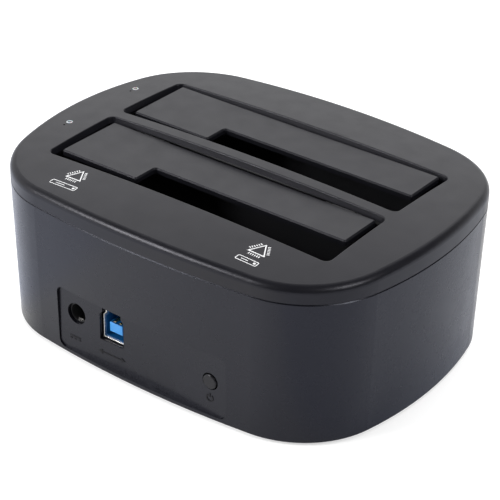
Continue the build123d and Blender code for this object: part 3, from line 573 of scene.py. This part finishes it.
def set_world():
    """White all round, with a dark ceiling that only a gloss can show."""
    world = bpy.data.worlds.new("white_studio")
    bpy.context.scene.world = world
    tree = node_tree(world)
    by_camera, seen = sees_background(tree)
    space = add_node(tree, "TexCoord").outputs["Generated"]
    height = add_node(tree, "VectorMath", {0: space}, operation="DOT_PRODUCT")
    height.inputs[1].default_value = Vector(CEILING_MIDDLE).normalized()
    dark = between(tree, height.outputs["Value"], 1, CEILING_LIGHT, *CEILING_EDGE)
    white = math_node(tree, dark, by_camera, "MAXIMUM")
    shown = add_node(tree, "Background", {"Strength": white, "Color": (1, 1, 1, 1)})
    lit = add_node(tree, "Background", {"Strength": SURROUND_LIGHT, "Color": (1, 1, 1, 1)})
    choice = {0: seen, 1: lit.outputs[0], 2: shown.outputs[0]}
    add_node(tree, "OutputWorld", {"Surface": add_node(tree, "MixShader", choice).outputs[0]})


def lay_floor():
    """Pale floor that keeps the station's shadow and is seen as white round it.

    Its bounce on the glossy walls is dimmer towards -X and bluer at both ends, which the
    camera never sees on the floor itself. From below the camera looks through it.
    """
    bpy.ops.mesh.primitive_plane_add(size=FLOOR_SPAN * MM, location=(0, 0, 0))
    floor = bpy.context.object
    floor.name = "studio_floor"
    material = bpy.data.materials.new("pale_floor")
    tree = node_tree(material)
    colour = (FLOOR_COLOUR, FLOOR_COLOUR, FLOOR_COLOUR, 1)
    paint = add_node(tree, "BsdfDiffuse", {"Color": colour})
    by_camera, seen = sees_background(tree)
    space = add_node(tree, "TexCoord").outputs["Object"]
    along = add_node(tree, "SeparateXYZ", {0: space}).outputs["X"]
    dim = between(tree, along, BOUNCE_DIM, 1, *(part * MM for part in BOUNCE_DIM_X))
    plain = math_node(tree, dim, by_camera, "MAXIMUM")
    bounce = math_node(tree, plain, FLOOR_GLOW, "MULTIPLY")
    level = math_node(tree, seen, bounce, "MULTIPLY")
    away = add_node(tree, "Math", {0: along}, operation="ABSOLUTE").outputs[0]
    middle = between(tree, away, 1, 0, *(part * MM for part in BOUNCE_WHITE_REACH))
    white = math_node(tree, middle, by_camera, "MAXIMUM")
    tint = shades(tree, white, BOUNCE_BLUE, (1, 1, 1))
    glow = add_node(tree, "Emission", {"Strength": level, "Color": tint})
    both = add_node(tree, "AddShader", {0: paint.outputs[0], 1: glow.outputs[0]})
    below = add_node(tree, "NewGeometry").outputs["Backfacing"]
    clear = math_node(tree, below, by_camera, "MULTIPLY")
    glass = add_node(tree, "BsdfTransparent")
    choice = {0: clear, 1: both.outputs[0], 2: glass.outputs[0]}
    add_node(tree, "OutputMaterial", {"Surface": add_node(tree, "MixShader", choice).outputs[0]})
    floor.data.materials.append(material)


def hang_lamps():
    for name, place, size, power, in_gloss in LAMPS:
        data = bpy.data.lights.new(name, "AREA")
        data.size = size * MM
        data.energy = power
        lamp = bpy.data.objects.new(name, data)
        bpy.context.scene.collection.objects.link(lamp)
        lamp.location = Vector(place) * MM
        lamp.rotation_euler = Vector(place).to_track_quat("Z", "Y").to_euler()
        lamp.visible_glossy = in_gloss


# Modelling tools


def crown_height(x, y):
    """Height of the cover's top at this place, in millimetres."""
    along = CROWN_RADIUS_ALONG - math.sqrt(CROWN_RADIUS_ALONG**2 - x**2)
    across = CROWN_RADIUS_ACROSS - math.sqrt(CROWN_RADIUS_ACROSS**2 - y**2)
    return CROWN_TOP - along - across


def corners(node):
    """The low and the high corner of a node's box, in millimetres."""
    return [Vector(corner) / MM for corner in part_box(node)]


def take(*pieces):
    """Select these pieces alone, the first of them active."""
    bpy.ops.object.select_all(action="DESELECT")
    for piece in pieces:
        piece.select_set(True)
    bpy.context.view_layer.objects.active = pieces[0]


def apply_place():
    bpy.ops.object.transform_apply(location=True, rotation=True, scale=True)


def wear(piece, finish):
    piece.data.materials.clear()
    piece.data.materials.append(finishes[finish])


def join_as(name, pieces, ride_on="station", finish=None):
    """One piece from several, with its place in its mesh, in one finish or in their own."""
    take(*pieces)
    if len(pieces) > 1:
        bpy.ops.object.join()
    apply_place()
    piece = bpy.context.object
    piece.name = name
    piece.data.name = name
    if finish:
        wear(piece, finish)
    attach(piece, ride_on)
    return piece


def own_copy(source):
    """A copy with a mesh of its own, taken in hand."""
    piece = source.copy()
    piece.data = source.data.copy()
    bpy.context.scene.collection.objects.link(piece)
    take(piece)
    return piece


def start_edit():
    """Edit mode, with everything selected."""
    bpy.ops.object.mode_set(mode="EDIT")
    bpy.ops.mesh.select_all(action="SELECT")


def end_edit():
    bpy.ops.object.mode_set(mode="OBJECT")


def pick_faces(piece, test):
    """In edit mode, select the faces whose middle in millimetres and normal pass the test."""
    bpy.ops.mesh.select_mode(type="FACE")
    bpy.ops.mesh.select_all(action="DESELECT")
    mesh = bmesh.from_edit_mesh(piece.data)
    for face in mesh.faces:
        face.select_set(test(face.calc_center_median() / MM, face.normal))
    bmesh.update_edit_mesh(piece.data)


def pick_edges(piece, test):
    """In edit mode, select the edges whose middle in millimetres and direction pass the test."""
    bpy.ops.mesh.select_mode(type="EDGE")
    bpy.ops.mesh.select_all(action="DESELECT")
    mesh = bmesh.from_edit_mesh(piece.data)
    for edge in mesh.edges:
        start, end = (corner.co / MM for corner in edge.verts)
        edge.select_set(test((start + end) / 2, (end - start).normalized()))
    bpy.ops.mesh.select_mode(type="EDGE")
    bmesh.update_edit_mesh(piece.data)


def pick_up(piece):
    pick_faces(piece, lambda middle, normal: normal.z > FACING)


def pick_top(piece, level):
    """Pick what lies flat at this height."""
    at_top = level - TOLERANCE
    pick_faces(piece, lambda middle, normal: normal.z > FLAT and middle.z > at_top)


def pick_upright_edges(piece, past_x=-math.inf):
    pick_edges(piece, lambda middle, way: abs(way.z) > FACING and middle.x > past_x)


def extrude(x, y, z):
    """Extrude the selection by this many millimetres."""
    move = {"value": (x * MM, y * MM, z * MM)}
    bpy.ops.mesh.extrude_region_move(TRANSFORM_OT_translate=move)


def shift(x, y, z):
    bpy.ops.transform.translate(value=(x * MM, y * MM, z * MM))


def widen(x, y, middle):
    """Scale the selection along X and Y about a place in millimetres."""
    bpy.ops.transform.resize(value=(x, y, 1), center_override=middle * MM)


def inset(line):
    bpy.ops.mesh.inset(thickness=line * MM)


def round_edges(radius, steps):
    bpy.ops.mesh.bevel(offset=radius * MM, segments=steps, affect="EDGES")


def round_corners(radius, steps):
    bpy.ops.mesh.bevel(offset=radius * MM, segments=steps, affect="VERTICES")


def smooth(angle=SMOOTH_ANGLE):
    bpy.ops.object.shade_smooth_by_angle(angle=math.radians(angle))


def block(low, high):
    """A block between two corners, left in edit mode with all of it selected."""
    middle = (low + high) / 2
    bpy.ops.mesh.primitive_cube_add(size=MM, location=middle * MM)
    piece = bpy.context.object
    piece.scale = high - low
    take(piece)
    apply_place()
    start_edit()
    return piece


def cylinder(radius, height, middle, sides=ROUND_SIDES):
    """An upright cylinder round this middle, left in edit mode."""
    bpy.ops.mesh.primitive_cylinder_add(
        vertices=sides, radius=radius * MM, depth=height * MM, location=middle * MM
    )
    piece = bpy.context.object
    take(piece)
    apply_place()
    start_edit()
    return piece


def apply_modifier(piece, kind, **settings):
    take(piece)
    modifier = piece.modifiers.new(kind.lower(), kind)
    for name, value in settings.items():
        setattr(modifier, name, value)
    bpy.ops.object.modifier_apply(modifier=modifier.name)


def combine(piece, tool, operation):
    """Cut the tool from the piece or join it on, and drop the tool."""
    apply_modifier(piece, "BOOLEAN", object=tool, operation=operation, solver="EXACT")
    bpy.data.objects.remove(tool)


# Printed and raised marks


def bar(length, width, middle, turn=0.0):
    """A flat bar round this middle, at the height of the floor until it is placed."""
    place = (middle[0] * MM, middle[1] * MM, 0)
    bpy.ops.mesh.primitive_plane_add(size=MM, location=place, rotation=(0, 0, turn))
    piece = bpy.context.object
    piece.scale = (length, width, 1)
    take(piece)
    apply_place()
    return piece


def hollow_out(piece, line):
    """Keep a border of this width round a flat face."""
    take(piece)
    start_edit()
    inset(line)
    bpy.ops.mesh.delete(type="FACE")
    end_edit()
    return piece


def flat_shape(sides, radius, middle, turn=0.0):
    pose = {"location": (middle[0] * MM, middle[1] * MM, 0), "rotation": (0, 0, turn)}
    bpy.ops.mesh.primitive_circle_add(
        vertices=sides, radius=radius * MM, fill_type="NGON", **pose
    )
    take(bpy.context.object)
    apply_place()
    return bpy.context.object


def rounded_frame(length, width, corner, line, middle):
    outline = bar(length, width, middle)
    start_edit()
    round_corners(corner, SIGN_CORNER_STEPS)
    end_edit()
    return hollow_out(outline, line)


def thicken(piece, depth):
    """Give a thin shape its thickness behind its faces."""
    apply_modifier(piece, "SOLIDIFY", thickness=depth * MM, offset=-1)


def cover_mark(name, middle, sign_length):
    """Arrowhead with ticks along its sides, over the outline of a drive."""
    parts = [hollow_out(flat_shape(3, ARROW_RADIUS, middle, math.pi), ARROW_LINE)]
    for side in range(3):
        angle = math.radians(90 + 120 * side)
        out = Vector((math.cos(angle), math.sin(angle)))
        along = Vector((-out.y, out.x))
        row = Vector(middle) + out * (ARROW_RADIUS / 2 + TICK_OFFSET)
        for number in range(TICKS_PER_SIDE):
            from_middle = (number - (TICKS_PER_SIDE - 1) / 2) * TICK_PITCH
            lean = angle - math.pi / 2
            parts.append(bar(*TICK_SIZE, row + along * from_middle, lean))
    sign = Vector(middle) + Vector((0, SIGN_OFFSET))
    parts.append(rounded_frame(sign_length, SIGN_HEIGHT, SIGN_CORNER, SIGN_LINE, sign))
    reach = sign_length / 2 - SIGN_HEIGHT / 2
    dot = SIGN_HEIGHT * SIGN_DOT_SHARE
    stroke = sign_length * SIGN_STROKE_SHARE
    parts.append(flat_shape(SIGN_DOT_SIDES, dot, sign - Vector((reach, 0))))
    parts.append(bar(stroke, SIGN_LINE, sign + Vector((reach / 3, 0))))
    mark = join_as(name, parts, finish="ink")
    for corner in mark.data.vertices:
        corner.co.z = (crown_height(corner.co.x / MM, corner.co.y / MM) + INK_PROUD) * MM
    thicken(mark, INK_DEPTH)


def stand_on_panel(name, parts, place):
    """Turn flat shapes upright, raised from the face of the panel at this x and z."""
    # Their finish is darker than the body's, as painted shade
    mark = join_as(name, parts, finish="raised")
    turn = Matrix(((-1, 0, 0), (0, 0, 1), (0, 1, 0)))
    start = Vector((place[0], PANEL_FACE + RAISED_HEIGHT, place[1])) * MM
    for corner in mark.data.vertices:
        corner.co = turn @ corner.co + start
    thicken(mark, 2 * RAISED_HEIGHT)


def panel_marks():
    """Direct current for the inlet, a double arrow for the data socket, a ring for power."""
    dash = INLET_BAR / (2 * INLET_DASHES - 1)
    inlet = [bar(INLET_BAR, RAISED_LINE, (0, RAISED_LINE))]
    for number in range(INLET_DASHES):
        x = (number - (INLET_DASHES - 1) / 2) * 2 * dash
        inlet.append(bar(dash, RAISED_LINE, (x, -RAISED_LINE)))
    stand_on_panel("inlet_mark", inlet, INLET_MARK)
    data = [bar(DATA_BAR, RAISED_LINE, (0, 0))]
    for side in (-1, 1):
        end = (side * (DATA_BAR / 2 + DATA_HEAD / 2), 0)
        data.append(flat_shape(3, DATA_HEAD, end, -side * math.pi / 2))
    stand_on_panel("data_mark", data, DATA_MARK)
    ring = hollow_out(flat_shape(ROUND_SIDES, POWER_RING, (0, 0)), RAISED_LINE)
    take(ring)
    start_edit()
    opening = math.cos(math.radians(POWER_GAP))
    pick_faces(ring, lambda middle, normal: middle.y > opening * middle.length)
    bpy.ops.mesh.delete(type="FACE")
    end_edit()
    stroke = bar(RAISED_LINE, POWER_RING, (0, POWER_RING * POWER_STROKE_SHARE))
    stand_on_panel("power_mark", [ring, stroke], POWER_MARK)


# Light pipes and screws


def light_pipe(node):
    """Milky rod with a flange under the cover and a clear dish in its end."""
    low, high = corners(node)
    middle = (low + high) / 2
    radius = (high.x - low.x) / 2
    place = Vector((middle.x, middle.y, low.z + PIPE_FLANGE / 2))
    rod = cylinder(radius, PIPE_FLANGE, place)
    pick_up(rod)
    inset(radius - PIPE_RADIUS)
    extrude(0, 0, high.z - low.z - PIPE_FLANGE)
    round_edges(PIPE_ROUND, PIPE_ROUND_STEPS)
    pick_top(rod, high.z)
    inset(PIPE_RIM)
    inset(PIPE_DISH)
    shift(0, 0, -PIPE_DISH)
    end_edit()
    pipe = join_as(node + "_rod", [rod], finish="pipe")
    pipe.data.materials.append(finishes["lens"])
    for face in pipe.data.polygons:
        inner = (face.center / MM - middle).xy.length < PIPE_RADIUS - PIPE_RIM
        if inner and face.center.z / MM > high.z - 2 * PIPE_DISH:
            face.material_index = 1
    smooth(PIPE_SMOOTH_ANGLE)
    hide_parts(node)


def cross_cutter(middle, head_radius, depth, outward):
    """Two crossed blades that narrow towards the bottom of the recess."""
    length, width, foot = CROSS_SHARES
    blades = []
    for turn in (0, math.pi / 2):
        bpy.ops.mesh.primitive_cube_add(size=MM, location=middle * MM, rotation=(0, 0, turn))
        blade = bpy.context.object
        blade.scale = (length * head_radius, width * head_radius, 2 * depth)
        take(blade)
        apply_place()
        start_edit()
        pick_faces(blade, lambda centre, normal: normal.z * outward < -FACING)
        widen(foot, foot, middle)
        end_edit()
        blades.append(blade)
    combine(blades[0], blades[1], "UNION")
    return blades[0]


def screw(node, head_height, head_radius, shank_radius, head_up=False):
    """Pan-head screw with a cross recess and a cut thread."""
    low, high = corners(node)
    way = -1 if head_up else 1
    start = high.z if head_up else low.z
    axis = (low + high) / 2
    outer = Vector((axis.x, axis.y, start))
    half_head = Vector((0, 0, way * head_height / 2))
    head = cylinder(head_radius, head_height, outer + half_head, SCREW_SIDES)
    pick_faces(head, lambda middle, normal: normal.z * way < -FACING)
    round_edges(head_height * DOME_SHARE, DOME_STEPS)
    pick_faces(head, lambda middle, normal: normal.z * way > FACING)
    inset(head_radius - shank_radius * THREAD_SHARE)
    length = high.z - low.z - head_height
    turns = int(length / (PITCH_SHARE * shank_radius))
    for number in range(2 * turns):
        extrude(0, 0, way * length / turns / 2)
        share = THREAD_SHARE if number % 2 else 1 / THREAD_SHARE
        if number == 2 * turns - 1:
            share = THREAD_SHARE * POINT_SHARE
        widen(share, share, outer)
    end_edit()
    cutter = cross_cutter(outer, head_radius, head_height * CROSS_DEPTH_SHARE, -way)
    combine(head, cutter, "DIFFERENCE")
    piece = join_as(node + "_cut", [head], finish="screw")
    smooth(SCREW_SMOOTH_ANGLE)
    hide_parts(node)


def all_screws():
    for node in frame["nodes"]:
        if node.startswith(("base_screw", "cradle_screw")):
            screw(node, *CASE_SCREW)
        elif node.startswith("board_screw"):
            screw(node, *BOARD_SCREW, head_up=True)
        elif node.startswith("led_board_screw"):
            screw(node, *BOARD_SCREW)


# Data socket, lead-ins and skirt


def open_box(node, wall, depth):
    """Shouldered box open at the front, with rounded corners and a rolled rim."""
    low, high = corners(node)
    width = high.x - low.x
    lower_top = high.z - UPPER_RISE - SHOULDER_RISE
    piece = block(low, Vector((high.x, high.y, lower_top)))
    pick_up(piece)
    extrude(0, 0, SHOULDER_RISE)
    widen(1 - 2 * SHOULDER_STEP / width, 1, Vector(((low.x + high.x) / 2, 0, 0)))
    extrude(0, 0, UPPER_RISE)
    pick_faces(piece, lambda middle, normal: normal.y > FACING)
    inset(wall)
    extrude(0, -depth, 0)
    rim = high.y - TOLERANCE
    pick_faces(piece, lambda middle, normal: normal.y > FACING and middle.y > rim)
    bpy.ops.mesh.region_to_loop()
    round_edges(RIM_ROUND, RIM_STEPS)
    end_edit()
    return piece


def data_socket():
    """Folded metal sleeve round a blue insert, whose walls carry painted shade as a deeper blue
    and whose tongues carry painted light as a paler blue.
    """
    low, high = corners("usb_shell")
    sleeve = open_box("usb_shell", SLEEVE_SHEET, high.y - low.y - SLEEVE_SHEET)
    join_as("data_sleeve", [sleeve], finish="usb_shell")
    smooth()
    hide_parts("usb_shell")
    low, high = corners("usb_insulator")
    insert = open_box("usb_insulator", LINER, PLUG_DEPTH)
    centre = (low.x + high.x) / 2
    root = high.y - PLUG_DEPTH
    front = high.y - TONGUE_SETBACK
    for width, foot, top in (LOWER_TONGUE, UPPER_TONGUE):
        start = Vector((centre - width / 2, root - LINER, foot))
        tongue = block(start, Vector((centre + width / 2, front, top)))
        round_edges(TONGUE_ROUND, RIM_STEPS)
        end_edit()
        combine(insert, tongue, "UNION")
    join_as("data_insert", [insert], finish="insert")
    # The tongues' faces take the paler blue, which is painted light
    insert.data.materials.append(finishes["tongue"])
    for face in insert.data.polygons:
        middle = face.center / MM
        out_of_root = root + TOLERANCE < middle.y <= front + TOLERANCE
        for width, foot, top in (LOWER_TONGUE, UPPER_TONGUE):
            beside = abs(middle.x - centre) < width / 2 + TOLERANCE
            if out_of_root and beside and foot - TOLERANCE < middle.z < top:
                face.material_index = 1
    smooth()
    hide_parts("usb_insulator")


def bay_lead_in(name, middle_y):
    """Sloped wall round a bay, from just under the crown's edge down to the flap."""
    wall = bar(*BAY_SIZE, (0, middle_y))
    start_edit()
    round_corners(BAY_CORNER, BAY_CORNER_STEPS)
    centre = Vector((0, middle_y))
    pick_edges(wall, lambda middle, way: (middle.xy - centre).length < BAY_SIZE[1])
    bpy.ops.mesh.subdivide(number_cuts=LEAD_CUTS)
    end_edit()
    for corner in wall.data.vertices:
        corner.co.z = (crown_height(corner.co.x / MM, corner.co.y / MM) - LEAD_DROP) * MM
    start_edit()
    inset(LEAD_SLOPE)
    shift(0, 0, -LEAD_HEIGHT)
    bpy.ops.mesh.delete(type="FACE")
    end_edit()
    join_as("bay_lead_in_" + name, [wall], finish="cover")
    thicken(wall, LEAD_WALL)
    smooth()


def skirt():
    """Thin rim that carries the foot of the body down, in one with its outline."""
    piece = own_copy(frame["nodes"]["body_shell"])
    start_edit()
    bpy.ops.mesh.remove_doubles(threshold=MERGE_REACH * MM)
    section = {"plane_co": (0, 0, SKIRT_TOP * MM), "plane_no": (0, 0, 1)}
    bpy.ops.mesh.bisect(**section, clear_inner=True, clear_outer=True)
    outline = bmesh.from_edit_mesh(piece.data).verts
    reach = max(abs(corner.co.x) for corner in outline) / MM - SKIRT_END
    pick_edges(piece, lambda middle, way: abs(middle.x) > reach)
    bpy.ops.mesh.select_linked()
    bpy.ops.mesh.select_all(action="INVERT")
    bpy.ops.mesh.delete(type="VERT")
    bpy.ops.mesh.select_all(action="SELECT")
    extrude(0, 0, SKIRT_FOOT - SKIRT_TOP)
    bpy.ops.mesh.select_all(action="SELECT")
    bpy.ops.mesh.normals_make_consistent(inside=False)
    end_edit()
    join_as("body_skirt", [piece], finish="body")
    thicken(piece, SKIRT_WALL)
    smooth()


# Small pieces on the boards


def leg_row(low, high):
    """Row of bent legs along the +X side of a chip."""
    middle = (low + high) / 2
    width, sheet = LEG_SIZE
    side = high.x - LEG_REACH - LEG_ROOT
    end = middle.y - ((CHIP_LEGS - 1) * LEG_PITCH + width) / 2
    start = Vector((side, end, middle.z))
    leg = block(start, start + Vector((LEG_ROOT + LEG_SHOULDER, width, sheet)))
    pick_faces(leg, lambda centre, normal: normal.x > FACING)
    extrude(LEG_RUN, 0, low.z - start.z)
    extrude(LEG_TOE, 0, 0)
    end_edit()
    wear(leg, "dc_pin")
    pitch = (0, LEG_PITCH * MM, 0)
    spread = {"use_relative_offset": False, "use_constant_offset": True}
    apply_modifier(leg, "ARRAY", count=CHIP_LEGS, constant_offset_displace=pitch, **spread)
    return leg


def bridge_chip():
    """Resin block with a pin-one dimple, and a row of bent legs on each side."""
    low, high = corners("bridge_chip")
    reach = Vector((LEG_REACH, LEG_REACH, 0))
    resin = block(low + reach + Vector((0, 0, CHIP_STAND)), high - reach)
    round_edges(CHIP_BEVEL, BEVEL_STEPS)
    end_edit()
    wear(resin, "chip")
    place = high - reach - Vector((DIMPLE_INSET, DIMPLE_INSET, 0))
    dimple = cylinder(DIMPLE_RADIUS, 2 * DIMPLE_DEPTH, place, DIMPLE_SIDES)
    end_edit()
    combine(resin, dimple, "DIFFERENCE")
    rows = [leg_row(low, high)]
    turn = {"orient_axis": "Z", "center_override": (low + high) / 2 * MM}
    for side in range(1, 4):
        rows.append(own_copy(rows[0]))
        bpy.ops.transform.rotate(value=side * math.pi / 2, **turn)
    piece = join_as("bridge_chip_legged", [resin, *rows])
    smooth()
    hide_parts("bridge_chip")


def end_pads(low, high, size):
    """Metal pads at the two Y ends of a piece, as wide, long and high as said."""
    pads = []
    middle = (low + high) / 2
    width, length, height = size
    for start in (low.y, high.y - length):
        corner = Vector((middle.x - width / 2, start, low.z))
        pad = block(corner, corner + Vector((width, length, height)))
        round_edges(PAD_WRAP / 2, BEVEL_STEPS)
        end_edit()
        wear(pad, "dc_pin")
        pads.append(pad)
    return pads


def activity_light(node):
    """Stepped resin light with a pad at each end."""
    low, high = corners(node)
    wrap = Vector((0, PAD_WRAP, 0))
    resin = block(low + wrap, Vector((high.x, high.y, low.z + LIGHT_FOOT)) - wrap)
    pick_up(resin)
    inset(LIGHT_RIM)
    extrude(0, 0, high.z - low.z - LIGHT_FOOT)
    round_edges(LIGHT_ROUND, ROUND_STEPS)
    end_edit()
    wear(resin, "led")
    piece = join_as(node + "_stepped", [resin, *end_pads(low, high, PAD_SIZE)])
    smooth()
    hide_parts(node)


def capacitor(node):
    """Crimped can with a dished, marked top, on a base with two corners cut off."""
    low, high = corners(node)
    middle = (low + high) / 2
    base = block(low, Vector((high.x, high.y, low.z + CAN_BASE)))
    pick_upright_edges(base, middle.x)
    round_edges(CAN_NOTCH, 1)
    end_edit()
    wear(base, "switch")
    radius = (high.x - low.x) / 2 - CAN_GAP
    foot = Vector((middle.x, middle.y, low.z + CAN_BASE))
    can = cylinder(radius, CAN_BASE, foot)
    pick_up(can)
    level = foot.z + CAN_BASE / 2
    for rise, share in CAN_CRIMP:
        extrude(0, 0, rise)
        widen(share, share, middle)
        level += rise
    extrude(0, 0, high.z - level)
    round_edges(CAN_ROUND, ROUND_STEPS)
    pick_top(can, high.z)
    inset(CAN_RIM)
    inset(CAN_DISH)
    shift(0, 0, -CAN_DISH)
    line = middle + Vector((CAN_MARK_FROM_MIDDLE, 0, 0))
    bpy.ops.mesh.bisect(plane_co=line * MM, plane_no=(1, 0, 0))
    end_edit()
    wear(can, "capacitor")
    can.data.materials.append(finishes["switch"])
    dish = radius - CAN_ROUND - CAN_RIM
    for face in can.data.polygons:
        centre = face.center / MM
        in_dish = centre.z > high.z - 2 * CAN_DISH and (centre - middle).xy.length < dish
        if in_dish and face.normal.z > FLAT and centre.x > line.x:
            face.material_index = 1
    piece = join_as(node + "_can", [can, base])
    smooth()
    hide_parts(node)


def inductor():
    """Ferrite block with cut corners round a drum core, and a pad at each end."""
    low, high = corners("power_inductor")
    middle = (low + high) / 2
    wrap = Vector((0, PAD_WRAP, 0))
    ferrite = block(low + wrap, high - wrap)
    pick_upright_edges(ferrite)
    round_edges(INDUCTOR_CORNER, BEVEL_STEPS)
    end_edit()
    groove = hollow_out(flat_shape(ROUND_SIDES, CORE_RADIUS, middle), CORE_LINE)
    thicken(groove, 2 * CORE_DEPTH)
    take(groove)
    shift(0, 0, high.z + CORE_DEPTH)
    combine(ferrite, groove, "DIFFERENCE")
    wear(ferrite, "inductor")
    piece = join_as("inductor_core", [ferrite, *end_pads(low, high, INDUCTOR_PAD)])
    smooth()
    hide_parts("power_inductor")


def crystal():
    """Drawn can with round ends, on its flange."""
    low, high = corners("crystal")
    width = high.y - low.y
    can = bar(high.x - low.x, width, (low + high) / 2)
    shift(0, 0, low.z)
    apply_place()
    start_edit()
    round_corners(width / 2 - CRYSTAL_END_FLAT, CRYSTAL_END_STEPS)
    extrude(0, 0, CRYSTAL_FLANGE)
    inset(CRYSTAL_STEP)
    extrude(0, 0, high.z - low.z - CRYSTAL_FLANGE)
    round_edges(CRYSTAL_ROUND, ROUND_STEPS)
    bpy.ops.mesh.select_all(action="SELECT")
    bpy.ops.mesh.normals_make_consistent(inside=False)
    end_edit()
    piece = join_as("crystal_drawn_can", [can], finish="crystal")
    smooth()
    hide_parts("crystal")


def plunger():
    """Rounded stem between the switch and the button."""
    low, high = corners("switch_plunger")
    stem = block(low, high)
    round_edges(PLUNGER_ROUND, ROUND_STEPS)
    end_edit()
    piece = join_as("plunger_stem", [stem], ride_on="button", finish="switch")
    smooth()
    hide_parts("switch_plunger")


bpy.ops.object.select_all(action="DESELECT")
set_camera()
set_world()
lay_floor()
hang_lamps()
finish_nodes()
for name, middle, sign_length in COVER_MARKS:
    cover_mark(name, middle, sign_length)
panel_marks()
for side in ("rear", "front"):
    light_pipe("light_pipe_" + side)
all_screws()
data_socket()
skirt()
for name, middle_y in BAY_MIDDLES:
    bay_lead_in(name, middle_y)
bridge_chip()
for side in ("rear", "front"):
    activity_light("led_" + side)
for side in ("left", "right"):
    capacitor("capacitor_" + side)
inductor()
crystal()
plunger()

bpy.context.scene.view_settings.view_transform = "Standard"
